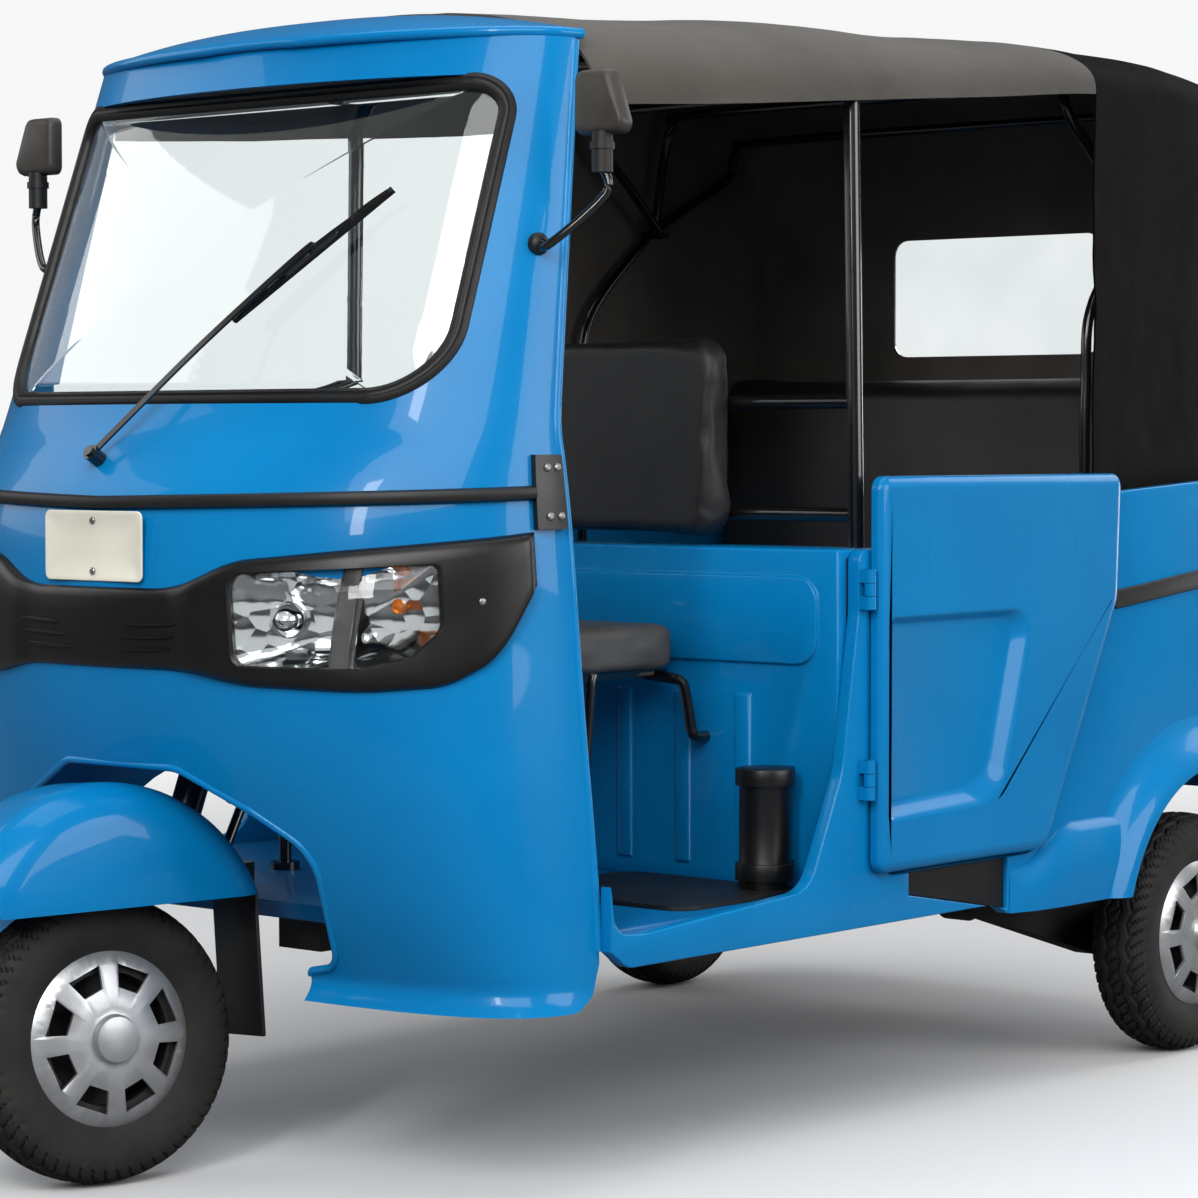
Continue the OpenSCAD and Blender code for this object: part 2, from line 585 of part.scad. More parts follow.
// Hood
module hood_sheet(stations, turns) thick_sheet([for (y = stations) [for (t = turns) hood_point(y, t, 0)]],
  [for (y = stations) [for (t = turns) hood_point(y, t, -hood_t)]]);
hood_turns = [-90, -80, -70, -60, -50, -40, -30, -20, -10, 0, 10, 20, 30, 40, 50, 60, 70, 80, 90];
module hood_front() color([0.37, 0.35, 0.32])
  hood_sheet([for (r = hood_rows) if (r[0] < hood_joint) r[0] == 500 ? 500 + seat_gap : r[0], hood_joint - seat_gap], hood_turns);

module hood_rear_half() {
  stations = [for (r = hood_rows) if (r[0] >= hood_joint) r[0]];
  function ring(y, out) = concat([[-hood_col(y, 1) - out, y, waist(y) - 12]], [for (t = hood_turns) hood_point(y, t, out)],
    [[hood_col(y, 1) + out, y, waist(y) - 12]]);
  color([0.03, 0.03, 0.03]) thick_sheet([for (y = stations) ring(y, 0)], [for (y = stations) ring(y, -hood_t)]);
}

window_half = 235;
window_low = 1225;
window_top = 1450;
module window_outline(grow) polygon(rounded([[-window_half - grow, window_low - grow, 30], [window_half + grow, window_low - grow, 30],
  [window_half + grow, window_top + grow, 30], [-window_half - grow, window_top + grow, 30]]));
module hood_back() color([0.03, 0.03, 0.03]) cross_plate(hood_rear + seat_gap, hood_t) difference() {
  polygon(concat([[-hood_col(hood_rear, 1), tail_top + seat_gap]], [for (t = hood_turns) let (p = hood_point(hood_rear, t, 0)) [p[0], p[2]]],
    [[hood_col(hood_rear, 1), tail_top + seat_gap]]));
  window_outline(0);
}
module rear_window() color([0.85, 0.9, 0.92]) cross_plate(hood_rear + 2, hood_t - 4) window_outline(-seat_gap);

// Hood frame: bows that fold about two pivots
bow_r = 9;
bow_pivot = [1905, 1455];
// columns: half width at the pivot, station of the top, height of the top
bow_rows = [[526, 1722, 1722], [546, 1930, 1728], [566, 2150, 1690]];
stay_x = 506;
stay_y = hood_joint + 30;
module hood_frame() color([0.03, 0.03, 0.03]) {
  for (b = bow_rows) bent_tube(eased([[-b[0], bow_pivot[0], bow_pivot[1]], [-b[0] + 8, b[1], b[2] - 110],
    [-440, b[1], b[2] - 42], [440, b[1], b[2] - 42], [b[0] - 8, b[1], b[2] - 110], [b[0], bow_pivot[0], bow_pivot[1]]], 60),
    bow_r, [0, 1, 0.01]);
  both_sides() {
    bent_tube(eased([[stay_x, bow_pivot[0], bow_pivot[1]], [stay_x, 1760, 1290], [stay_x, stay_y, 1100],
      [stay_x, stay_y, shelf_h + 140]], 50), bow_r, [1, 0, 0]);
    translate([stay_x - 14, bow_pivot[0], bow_pivot[1]]) along_x() cylinder(r = 5, h = 76);
  }
}

// Door posts with the rails behind the driver, and the roof's side tubes
rail_heights = [948, 1124];
module grab_rails() color([0.03, 0.03, 0.03]) {
  both_sides() bar([post_x, post_y, partition_h + seat_gap], [post_x - 12, post_y, 1600], tube_r);
  for (z = rail_heights) bar([-post_x + 2, post_y, z], [post_x - 2, post_y, z], 11);
  bent_tube(eased([[-post_x + 12, post_y, 1592], [-500, post_y, 1648], [-380, post_y, 1688], [380, post_y, 1688],
    [500, post_y, 1648], [post_x - 12, post_y, 1592]], 30), 11, [0, 1, 0]);
}

module driver_seat() color([0.1, 0.1, 0.1]) translate([0, 0, 706]) linear_extrude(72)
  polygon(rounded([[-300, 600, 50], [300, 600, 50], [300, 940, 40], [-300, 940, 40]]));

module seat_frame() color([0.03, 0.03, 0.03]) {
  translate([-290, 610, 694]) cube([580, 320, 12 - seat_gap]);
  both_sides() {
    bar([270, 640, floor_h + 6], [270, 640, 698], 10);
    translate([270, 640, floor_h + seat_gap]) cylinder(r = 24, h = 12);
    bent_tube(eased([[270, 900, 697], [335, 915, 690], [345, 926, 600], [345, partition_y - seat_gap, 600]], 16), 9, [1, 0, 0.5]);
  }
}

module driver_backrest() color([0.1, 0.1, 0.1]) translate([0, post_y - 11 - seat_gap, 910]) rotate([90, 0, 0]) linear_extrude(105)
  polygon(rounded([[-385, 0, 50], [385, 0, 50], [385, 322, 60], [-385, 322, 60]]));

module passenger_seat() color([0.08, 0.08, 0.08]) translate([0, 0, shelf_h + seat_gap]) linear_extrude(135)
  polygon(rounded([[-540, shelf_y - 10, 50], [540, shelf_y - 10, 50], [540, 2010, 20], [-540, 2010, 20]]));

module passenger_backrest() color([0.08, 0.08, 0.08]) translate([0, 0, shelf_h + seat_gap]) rotate([90, 0, 90])
  translate([0, 0, -525]) linear_extrude(1050) polygon(rounded([[2012, 0, 0], [2120, 0, 0], [2210, 600, 30], [2090, 600, 40]]));

module canister() color([0.03, 0.03, 0.03]) {
  x = 505;
  y = 905;
  translate([x, y, floor_h + seat_gap]) cylinder(r = 40, h = 192);
  for (z = [floor_h + 20, floor_h + 165]) {
    translate([x, y, z]) cylinder(r = 46, h = 26);
    translate([x - 15, y, z]) cube([30, partition_y - y - seat_gap, 26]);
  }
}

module brake_pedal() color([0.05, 0.05, 0.05]) {
  bar([-120, house_rear + 30, floor_h + 40], [-120, house_rear + 90, floor_h + 150], 8);
  translate([-160, house_rear + 92, floor_h + 130]) rotate([60, 0, 0]) cube([80, 60, 10]);
  translate([-145, house_rear + 22, floor_h + seat_gap]) cube([50, 60, 46]);
}

cross_y = 1535;
cross_r = 30;
collar_r = cross_r + 14;
cross_z = floor_h - floor_t - seat_gap - collar_r;
module chassis_spine() color([0.05, 0.05, 0.05]) {
  translate([-45, 405, floor_h - floor_t - seat_gap - 55]) cube([90, cross_y - 405, 55]);
  translate([-470, cross_y, cross_z]) along_x() cylinder(r = cross_r, h = 940);
}

arm_x = 430;
arm_t = 44;
arm_top = tyre_r + 60;
module rear_arms() color([0.05, 0.05, 0.05]) both_sides() {
  difference() {
    union() {
      translate([arm_x - arm_t / 2, cross_y, cross_z]) along_x() cylinder(r = collar_r, h = arm_t);
      side_plate(arm_x - arm_t / 2, arm_t) polygon([[cross_y, cross_z - 30], [cross_y, cross_z + 28], [wheelbase - 110, arm_top], [wheelbase - 30, arm_top], [wheelbase + 50, tyre_r + 42],
        [wheelbase + 50, tyre_r - 42], [wheelbase - 60, tyre_r - 48]]);
    }
    translate([arm_x - 60, cross_y, cross_z]) along_x() cylinder(r = cross_r + seat_gap, h = 120);
  }
  translate([arm_x, wheelbase, tyre_r]) along_x() cylinder(r = axle_r, h = track_half - arm_x + 20);
  translate([arm_x + arm_t / 2 - 1, wheelbase, tyre_r]) along_x() cylinder(r = 50, h = 26);
}

damper_y = wheelbase - 70;
module rear_dampers() color([0.2, 0.2, 0.2]) both_sides() {
  foot = arm_top + seat_gap;
  translate([arm_x, damper_y, foot]) cylinder(r = 14, h = shelf_h - 15 - seat_gap - foot);
  translate([arm_x, damper_y, foot + 20]) cylinder(r = 38, h = 190);
}

engine_l = 420;
engine_end = wheelbase + 135;
module engine() color([0.35, 0.36, 0.37]) translate([-210, engine_end - engine_l, 235])
  cube([420, engine_l, shelf_h - 15 - seat_gap - 235]);

silencer_y = engine_end + 85;
module silencer() color([0.12, 0.12, 0.12]) {
  translate([-320, silencer_y, 300]) along_x() cylinder(r = 60, h = 420);
  translate([-100, engine_end + seat_gap, 320]) rotate([-90, 0, 0]) cylinder(r = 18, h = silencer_y - engine_end - 30);
  for (x = [-250, 50]) translate([x - 12, silencer_y - 6, 350]) cube([24, 12, shelf_h - 15 - seat_gap - 350]);
}

// Steered pieces
leg_x = -84;
fork_z = 445;
module fork() color([0.05, 0.05, 0.05]) steered() difference() {
  union() {
    bar(on_axis(fork_z - 12), on_axis(bar_h - 20), column_r);
    knee = on_axis(fork_z);
    bar(knee + [20, 0, 0], [leg_x, knee[1], fork_z], 20);
    bent_tube(eased([[leg_x, knee[1] + 6, fork_z + 12], [leg_x, 70, 250], [leg_x, -8, front_axle_h - 10]], 40), 18, [1, 0, 0]);
    translate([leg_x - 18, 0, front_axle_h]) along_x() cylinder(r = axle_r, h = -leg_x + 18 + 20);
    translate([leg_x - 18, 0, front_axle_h]) along_x() cylinder(r = 32, h = 36);
  }
  translate([-200, -300, bar_h - 20]) cube([400, 900, 200]);
}

module handlebar() color([0.04, 0.04, 0.04]) steered() {
  top = on_axis(bar_h);
  difference() {
    translate([-55, top[1] - 50, bar_h - 20 + seat_gap]) cube([110, 100, 70]);
    translate([-100, top[1] - 80, bar_h + 58]) rotate([-20, 0, 0]) cube([200, 200, 80]);
  }
  translate([-bar_w / 2, top[1], bar_h + 8]) along_x() cylinder(r = 12, h = bar_w);
  for (s = [-1, 1]) translate([s * (bar_w / 2 - 55) - 55, top[1], bar_h + 8]) along_x() cylinder(r = 17, h = 110);
}

guard_t = 6;
module guard_section(inset) polygon(rounded([[20, -guard_w / 2 + inset, 0], [guard_r - inset, -guard_w / 2 + inset, 62 - inset],
  [guard_r - inset, guard_w / 2 - inset, 62 - inset], [20, guard_w / 2 - inset, 0]], 8));
module front_guard() color([0.05, 0.5, 0.8]) steered() intersection() {
  difference() {
    translate([0, 0, guard_h]) along_x() rotate_extrude() difference() {
      guard_section(0);
      translate([-1, 0]) guard_section(guard_t);
    }
    translate([-300, -400, 0]) cube([600, 800, guard_edge]);
    bar(on_axis(guard_edge), on_axis(700), column_r + seat_gap);
  }
  translate([0, 0, 300]) linear_extrude(400) polygon(rounded([[-guard_w / 2 - 1, -guard_reach - 2, 100], [guard_w / 2 + 1, -guard_reach - 2, 100],
    [guard_w / 2 + 1, guard_reach + 2, 60], [-guard_w / 2 - 1, guard_reach + 2, 60]], 8));
}

module mud_flap() color([0.03, 0.03, 0.03]) steered()
  translate([-62, guard_reach - guard_t, 185]) cube([124, guard_t, guard_edge - seat_gap - 185]);

// Wheel, drawn about the x axis with its cover on the +x side
rim_r = bead_d / 2 - seat_gap;
hub_r = axle_r + 14;
cover_x = 46;
module tyre() along_x() rotate_extrude() polygon([[bead_d / 2, -42], [bead_d / 2, 42], [bead_d / 2 + 18, 43.5], [150, tyre_w / 2 - 2],
  [165, tyre_w / 2], [182, tyre_w / 2 - 2], [196, 44], [204, 30], [tyre_r, crown_half], [tyre_r, -crown_half], [204, -30], [196, -44],
  [182, -tyre_w / 2 + 2], [165, -tyre_w / 2], [150, -tyre_w / 2 + 2], [bead_d / 2 + 18, -43.5]]);
module rim() along_x() rotate_extrude() polygon([[axle_r + seat_gap, -44], [hub_r, -44], [hub_r, -6], [rim_r - 10, -6], [rim_r - 10, -42],
  [rim_r, -42], [rim_r, 42], [rim_r - 8, 42], [rim_r - 8, 6], [hub_r, 6], [hub_r, 26], [axle_r + seat_gap, 26]]);
module cover() difference() {
  along_x() rotate_extrude() polygon([[0, 44 + 26], [32, 44 + 26], [36, 44 + 16], [44, 60], [cover_d / 2 - 20, 55], [cover_d / 2, cover_x - 1], [cover_d / 2 - 3, cover_x - 2],
    [cover_d / 2 - 22, 50], [44, 54], [30, 44], [30, 26 + seat_gap], [0, 26 + seat_gap]]);
  for (i = [0:cover_windows - 1]) rotate([(i + 0.5) * 360 / cover_windows, 0, 0]) side_plate(40, 40)
    polygon([[-16, 72], [16, 72], [27, 104], [-27, 104]]);
}
module front_wheel() steered() translate([0, 0, front_axle_h]) children();
module left_wheel() translate([track_half, wheelbase, tyre_r]) children();
module right_wheel() mirror([1, 0, 0]) left_wheel() children();
module front_tyre() color([0.04, 0.04, 0.04]) front_wheel() tyre();
module front_rim() color([0.1, 0.1, 0.1]) front_wheel() rim();
module front_cover() color([0.75, 0.76, 0.78]) front_wheel() cover();
module left_tyre() color([0.04, 0.04, 0.04]) left_wheel() tyre();
module left_rim() color([0.1, 0.1, 0.1]) left_wheel() rim();
module left_cover() color([0.75, 0.76, 0.78]) left_wheel() cover();
module right_tyre() color([0.04, 0.04, 0.04]) right_wheel() tyre();
module right_rim() color([0.1, 0.1, 0.1]) right_wheel() rim();
module right_cover() color([0.75, 0.76, 0.78]) right_wheel() cover();

module placed() translate([0, -centre_y, 0]) children();
placed() front_shell();
placed() roof_cap();
placed() wheel_house();
placed() steering_head();
placed() windscreen();
placed() windscreen_rubber();
placed() lamp_mask();
placed() headlamps();
placed() front_strip();
placed() front_plate();
placed() wiper();
placed() mirrors();
placed() dashboard();
placed() floor_pan();
placed() partition();
placed() body_side_left();
placed() body_side_right();
placed() side_strips();
placed() seat_shelf();
placed() tail_panel();
placed() tail_lamps();
placed() hood_front();
placed() hood_rear_half();
placed() hood_back();
placed() rear_window();
placed() hood_frame();
placed() grab_rails();
placed() driver_seat();
placed() driver_backrest();
placed() seat_frame();
placed() passenger_seat();
placed() passenger_backrest();
placed() canister();
placed() brake_pedal();
placed() chassis_spine();
placed() rear_arms();
placed() rear_dampers();
placed() engine();
placed() silencer();
placed() fork();
placed() handlebar();
placed() front_guard();
placed() mud_flap();
placed() front_tyre();
placed() front_rim();
placed() front_cover();
placed() left_tyre();
placed() left_rim();
placed() left_cover();
placed() right_tyre();
placed() right_rim();
placed() right_cover();
placed() door_left();
placed() door_right();
placed() tail_lid();
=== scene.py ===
"""Looks of the auto rickshaw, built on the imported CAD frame.

Lengths in the tables are millimetres, with stations (y) measured backwards from the front axle as in
the part's source. at() turns them into the frame's metres.
"""
import json
import math

import bmesh
import bpy
from mathutils import Matrix, Vector, noise


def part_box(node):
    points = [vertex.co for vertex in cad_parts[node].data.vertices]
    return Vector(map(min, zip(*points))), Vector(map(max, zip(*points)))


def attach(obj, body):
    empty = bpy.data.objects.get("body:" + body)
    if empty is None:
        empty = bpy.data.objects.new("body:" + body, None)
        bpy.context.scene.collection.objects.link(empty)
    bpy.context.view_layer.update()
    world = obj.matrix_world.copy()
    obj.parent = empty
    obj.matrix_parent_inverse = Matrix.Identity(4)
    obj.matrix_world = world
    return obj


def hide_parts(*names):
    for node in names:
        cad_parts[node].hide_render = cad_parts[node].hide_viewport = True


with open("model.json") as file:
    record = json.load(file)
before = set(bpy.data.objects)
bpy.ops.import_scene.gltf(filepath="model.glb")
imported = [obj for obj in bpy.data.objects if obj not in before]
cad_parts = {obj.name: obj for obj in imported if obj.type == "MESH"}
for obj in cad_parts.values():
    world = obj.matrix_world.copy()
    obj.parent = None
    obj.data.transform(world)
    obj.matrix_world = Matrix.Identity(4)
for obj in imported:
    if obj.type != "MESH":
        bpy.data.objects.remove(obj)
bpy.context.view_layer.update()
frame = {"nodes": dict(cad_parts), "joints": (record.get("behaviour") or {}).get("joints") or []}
nodes = frame["nodes"]
joints = {j["name"]: j for j in frame["joints"]}

# Place of the stations in the frame
WHEELBASE = 1985
CENTRE_Y = WHEELBASE - 1000 * joints["left_wheel_spin"]["pos_m"][1]


def at(p):
    return Vector((p[0] / 1000, (p[1] - CENTRE_Y) / 1000, p[2] / 1000))


def placed(name, data):
    """Object of a mesh, lamp or camera, put into the scene."""
    thing = bpy.data.objects.new(name, data)
    bpy.context.scene.collection.objects.link(thing)
    return thing


# Camera at the photograph's viewing angle
AZIMUTH, PITCH = 40.5, 2.55
camera_data = bpy.data.cameras.new("camera")
camera_data.lens = 107.13
camera_data.sensor_width = 36
camera = placed("camera", camera_data)
camera.location = (3.843, -4.47175, 1.064)
camera.rotation_euler = (math.radians(90 - PITCH), 0, math.radians(AZIMUTH))
bpy.context.scene.camera = camera


# Materials
def srgb(r, g, b):
    def linear(c):
        c /= 255
        return c / 12.92 if c <= 0.04045 else ((c + 0.055) / 1.055) ** 2.4
    return (linear(r), linear(g), linear(b), 1)


def set_inputs(node, values):
    """Sets a node's inputs, given by name with underscores for spaces."""
    for key, value in values.items():
        node.inputs[key.replace("_", " ").title().replace("Ior", "IOR")].default_value = value


class Finish:
    """A procedural material: a shader with its textures in frame coordinates, and the slot it fills."""

    slot = None

    def __init__(self, name, **sockets):
        self.material = bpy.data.materials.new(name)
        self.material.use_nodes = True
        self.tree = self.material.node_tree
        self.shader = self.tree.nodes["Principled BSDF"]
        set_inputs(self.shader, sockets)
        self.coords = self.tree.nodes.new("ShaderNodeTexCoord").outputs["Object"]

    def link(self, a, b):
        self.tree.links.new(a, b)

    def texture(self, kind, **values):
        node = self.tree.nodes.new("ShaderNodeTex" + kind)
        set_inputs(node, values)
        self.link(self.coords, node.inputs["Vector"])
        return node

    def noise(self, scale, detail=4):
        return self.texture("Noise", scale=scale, detail=detail).outputs["Fac"]

    def cells(self, scale):
        return self.texture("Voronoi", scale=scale).outputs["Distance"]

    def threads(self, axis, scale):
        node = self.texture("Wave", scale=scale, distortion=0.6)
        node.bands_direction = axis
        return node.outputs["Fac"]

    def math(self, operation, a, b):
        node = self.tree.nodes.new("ShaderNodeMath")
        node.operation = operation
        for socket, value in zip(node.inputs, (a, b)):
            if isinstance(value, (int, float)):
                socket.default_value = value
            else:
                self.link(value, socket)
        return node.outputs[0]

    def drive(self, target, kind, into, source, out, **values):
        """Sends a source through a new node to one of the shader's inputs."""
        node = self.tree.nodes.new("ShaderNode" + kind)
        set_inputs(node, values)
        self.link(source, node.inputs[into])
        self.link(node.outputs[out], self.shader.inputs[target])
        return node

    def colour(self, factor, low, high):
        node = self.drive("Base Color", "ValToRGB", "Fac", factor, "Color")
        for element, place, shade in zip(node.color_ramp.elements, (0.3, 0.7), (low, high)):
            element.position = place
            element.color = srgb(*shade)

    def rough(self, factor, low, high):
        self.drive("Roughness", "MapRange", "Value", factor, "Result", to_min=low, to_max=high)

    def bump(self, height, distance, strength=1.0):
        self.drive("Normal", "Bump", "Height", height, "Normal", distance=distance, strength=strength)


def plain(name, low, high, scale, rough, bump=None, **sockets):
    """Finish with a mottled colour, uneven gloss and a fine grain."""
    f = Finish(name, **sockets)
    f.colour(f.noise(scale), low, high)
    f.rough(f.noise(scale * 1.7, 6), *rough)
    if bump:
        f.bump(f.noise(bump[0], 3), bump[1])
    return f


paint = plain("blue_paint", (2, 116, 178), (6, 126, 188), 3, (0.24, 0.32), (900, 0.00004),
              coat_weight=0.3, coat_roughness=0.03, specular_ior_level=0.12)
# Darker copy of the blue body paint for the wheel house, floor pan and seat shelf: painted shade inside the
# body
shaded_inner_paint = plain("blue_paint_painted_shade", (2, 92, 148), (5, 102, 160), 4, (0.30, 0.42), (700, 0.00005),
                    coat_weight=0.2, coat_roughness=0.08, specular_ior_level=0.3)
black_paint = plain("black_enamel", (12, 12, 12), (20, 19, 19), 8, (0.16, 0.26), (500, 0.00004),
                    coat_weight=0.6, coat_roughness=0.06)
black_plastic = plain("moulded_black", (9, 9, 8), (16, 15, 14), 14, (0.30, 0.42), (1400, 0.00012))
housing = plain("black_housing", (14, 14, 14), (24, 23, 23), 9, (0.5, 0.7), (600, 0.0002))
rubber = plain("black_rubber", (14, 14, 14), (24, 24, 23), 20, (0.42, 0.6), (800, 0.0001))
tyre_rubber = plain("tyre_rubber", (18, 18, 17), (34, 33, 30), 18, (0.62, 0.82), (260, 0.0003))
steel = plain("zinc_steel", (150, 150, 148), (186, 186, 184), 40, (0.28, 0.42), (300, 0.00005), metallic=1.0)
silver = plain("silver_paint", (176, 178, 180), (196, 198, 200), 30, (0.30, 0.42), (1800, 0.00004),
               metallic=0.75, coat_weight=0.6, coat_roughness=0.08)
dark_steel = plain("cast_steel", (30, 30, 31), (52, 51, 50), 16, (0.5, 0.72), (240, 0.0003), metallic=0.4)
alloy = plain("cast_alloy", (98, 99, 100), (128, 128, 128), 22, (0.42, 0.6), (220, 0.0004), metallic=0.85)
trim_grey = plain("grey_trim", (84, 84, 82), (112, 111, 108), 30, (0.25, 0.4), (800, 0.00005), metallic=0.7)
cream = plain("cream_plate", (224, 220, 203), (236, 232, 217), 12, (0.35, 0.45), (500, 0.00004))
mirror_grey = plain("grey_plastic", (48, 45, 41), (62, 58, 53), 16, (0.4, 0.55), (1200, 0.0001))
chrome = plain("chrome", (222, 224, 226), (236, 238, 240), 10, (0.03, 0.08), metallic=1.0)
mirror_glass = plain("mirror_glass", (205, 212, 216), (222, 228, 230), 4, (0.01, 0.03), metallic=1.0)
amber = plain("amber_glass", (232, 120, 24), (246, 142, 40), 30, (0.05, 0.12), transmission_weight=0.5)
red_lens = plain("red_lens", (150, 8, 8), (178, 14, 12), 20, (0.08, 0.14), coat_weight=0.6,
                 coat_roughness=0.04)
seat_vinyl = plain("seat_vinyl", (25, 24, 24), (38, 37, 36), 7, (0.38, 0.52))
seat_vinyl.bump(seat_vinyl.cells(420), 0.0006, 0.5)
seat_grey = plain("seat_grey_vinyl", (68, 66, 62), (86, 83, 78), 7, (0.42, 0.55))
seat_grey.bump(seat_grey.cells(420), 0.0006, 0.5)


def woven(name, low, high, thread, rough, **sockets):
    """Coated canvas: two crossing sets of threads under a mottled colour."""
    f = Finish(name, **sockets)
    f.colour(f.noise(5, 8), low, high)
    f.rough(f.noise(30, 4), *rough)
    along = f.threads("Y", thread)
    across = f.math("ADD", f.threads("X", thread), f.threads("Z", thread))
    f.bump(f.math("ADD", f.math("MULTIPLY", f.math("ADD", along, across), 0.25), f.noise(45, 6)), 0.0008, 0.7)
    return f


hood_grey = woven("grey_canvas", (51, 47, 41), (69, 64, 56), 420, (0.62, 0.8), sheen_weight=0.12,
                  sheen_roughness=0.5)
hood_black = woven("black_canvas", (7, 6, 6), (13, 11, 11), 420, (0.6, 0.75), specular_ior_level=0.05)
hood_lining = woven("canvas_lining", (88, 84, 79), (108, 103, 97), 420, (0.7, 0.85), specular_ior_level=0.2)

glass = plain("clear_glass", (236, 244, 244), (244, 250, 250), 2, (0.0, 0.01), transmission_weight=1.0,
              ior=1.45)
lens = plain("lamp_lens", (244, 247, 248), (250, 252, 252), 4, (0.0, 0.02), transmission_weight=1.0,
             ior=1.3)
soft_window = plain("clear_sheet", (232, 238, 238), (242, 246, 246), 6, (0.02, 0.10),
                    transmission_weight=1.0, ior=1.12)

# Bowl behind the lamp's lens, with pressed facets
reflector = Finish("reflector", metallic=1.0, base_color=srgb(206, 207, 208))
reflector.rough(reflector.noise(90), 0.04, 0.16)
reflector.bump(reflector.cells(30), 0.005, 0.7)

# Slots that the finishes fill
for slot, finishes in (
        ("paint", (paint, shaded_inner_paint)), ("black_paint", (black_paint,)), ("rubber", (rubber,)),
        ("black_plastic", (black_plastic, mirror_grey)), ("tyre", (tyre_rubber,)), ("steel", (steel,)),
        ("silver", (silver, trim_grey)), ("housing", (alloy,)), ("plate", (cream,)),
        ("lamp", (reflector, chrome, amber)), ("glass", (glass, lens, mirror_glass)),
        ("tail_lamp", (red_lens,)), ("seat", (seat_vinyl, seat_grey)), ("hood_grey", (hood_grey,)),
        ("hood_black", (hood_black,))):
    for finish in finishes:
        finish.slot = slot


# Mesh helpers
ACROSS = Vector((1, 0, 0))


def joined(rows):
    return [p for row in rows for p in row]


def mesh_of(name, verts, faces):
    mesh = bpy.data.meshes.new(name)
    mesh.from_pydata([tuple(v) for v in verts], [], [tuple(f) for f in faces])
    return mesh


def outwards(mesh):
    """Turns the faces of a mesh outwards."""
    bm = bmesh.new()
    bm.from_mesh(mesh)
    bmesh.ops.recalc_face_normals(bm, faces=bm.faces)
    bm.to_mesh(mesh)
    bm.free()


def finished(mesh, finish, angle):
    """Gives a mesh its finish, smooth up to an angle between faces."""
    mesh.shade_smooth()
    mesh.set_sharp_from_angle(angle=math.radians(angle))
    mesh.materials.clear()
    mesh.materials.append(finish.material)


def settle(piece, finish, replaces=(), angle=40, body="body"):
    """Makes an object a piece: its finish, its body and the CAD nodes that it stands for."""
    outwards(piece.data)
    finished(piece.data, finish, angle)
    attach(piece, body)
    if replaces:
        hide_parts(*replaces)
    return piece


def make(name, verts, faces, finish, replaces=(), angle=40, body="body", slot=None):
    """Piece from points in metres."""
    return settle(placed(name, mesh_of(name, verts, faces)), finish, replaces, angle, body)


def scratch(name, verts, faces):
    """Closed helper mesh that isn't a piece yet."""
    helper = placed(name, mesh_of(name, verts, faces))
    outwards(helper.data)
    return helper


def apply_modifiers(piece):
    bpy.context.view_layer.update()
    shape = piece.evaluated_get(bpy.context.evaluated_depsgraph_get())
    mesh = bpy.data.meshes.new_from_object(shape)
    piece.modifiers.clear()
    old = piece.data
    piece.data = mesh
    bpy.data.meshes.remove(old)


def add_modifier(piece, kind, **settings):
    modifier = piece.modifiers.new(kind.lower(), kind)
    for key, value in settings.items():
        setattr(modifier, key, value)
    return modifier


def cut(piece, *shapes):
    """Takes closed shapes out of a piece."""
    cutters = [scratch("cut", *shape) for shape in shapes]
    for cutter in cutters:
        add_modifier(piece, "BOOLEAN", operation="DIFFERENCE", solver="EXACT", object=cutter)
    apply_modifiers(piece)
    for cutter in cutters:
        bpy.data.objects.remove(cutter)


def bevelled(piece, width, angle, segments):
    """Rounds the edges of a piece that are sharper than an angle."""
    add_modifier(piece, "BEVEL", width=width / 1000, segments=segments, limit_method="ANGLE",
                 angle_limit=math.radians(angle))
    apply_modifiers(piece)


def grid_faces(rows, cols, wrap=False):
    last = cols if wrap else cols - 1
    return [(k * cols + i, k * cols + (i + 1) % cols, (k + 1) * cols + (i + 1) % cols, (k + 1) * cols + i)
            for k in range(rows - 1) for i in range(last)]


def thick(outer, inner):
    """Points and faces of a closed sheet between two equal grids."""
    rows, cols = len(outer), len(outer[0])
    n = rows * cols
    front = grid_faces(rows, cols)
    faces = front + [tuple(n + i for i in reversed(f)) for f in front]
    rim = ([k * cols for k in range(rows)] + [(rows - 1) * cols + i for i in range(1, cols)] +
           [k * cols + cols - 1 for k in range(rows - 2, -1, -1)] + [i for i in range(cols - 2, 0, -1)])
    faces += [(a, b, n + b, n + a) for a, b in zip(rim, rim[1:] + rim[:1])]
    return joined(outer) + joined(inner), faces


def sheet(point, rows, cols, outer, inner):
    """Closed sheet over a grid of places, between two heights off the surface."""
    return thick(*([[point(r, c, out) for c in cols] for r in rows] for out in (outer, inner)))


def sweep(path, section, up, closed=False):
    """Points and faces of a section, given as (sideways, up) pairs, carried along a path."""
    count = len(path)
    verts = []
    for i, p in enumerate(path):
        a = path[i - 1] if closed or i > 0 else p
        b = path[(i + 1) % count] if closed or i < count - 1 else p
        along = (b - a).normalized()
        lift = up(i) if callable(up) else up
        side = along.cross(lift).normalized()
        lift = side.cross(along).normalized()
        verts += [p + side * s + lift * h for s, h in section]
    n = len(section)
    ring = list(range(count)) + ([0] if closed else [])
    faces = [(a * n + k, b * n + k, b * n + (k + 1) % n, a * n + (k + 1) % n)
             for a, b in zip(ring, ring[1:]) for k in range(n)]
    if not closed:
        faces += [tuple(range(n)), tuple((count - 1) * n + k for k in reversed(range(n)))]
    return verts, faces


def rings_closed(rings):
    """Points and faces of a closed shape through loops, with a flat cap at each end."""
    n = len(rings[0])
    last = (len(rings) - 1) * n
    faces = grid_faces(len(rings), n, True) + [tuple(range(n)), tuple(last + i for i in range(n))]
    return joined(rings), faces


def spaced(start, end, steps):
    return [start + (end - start) * k / steps for k in range(steps + 1)]


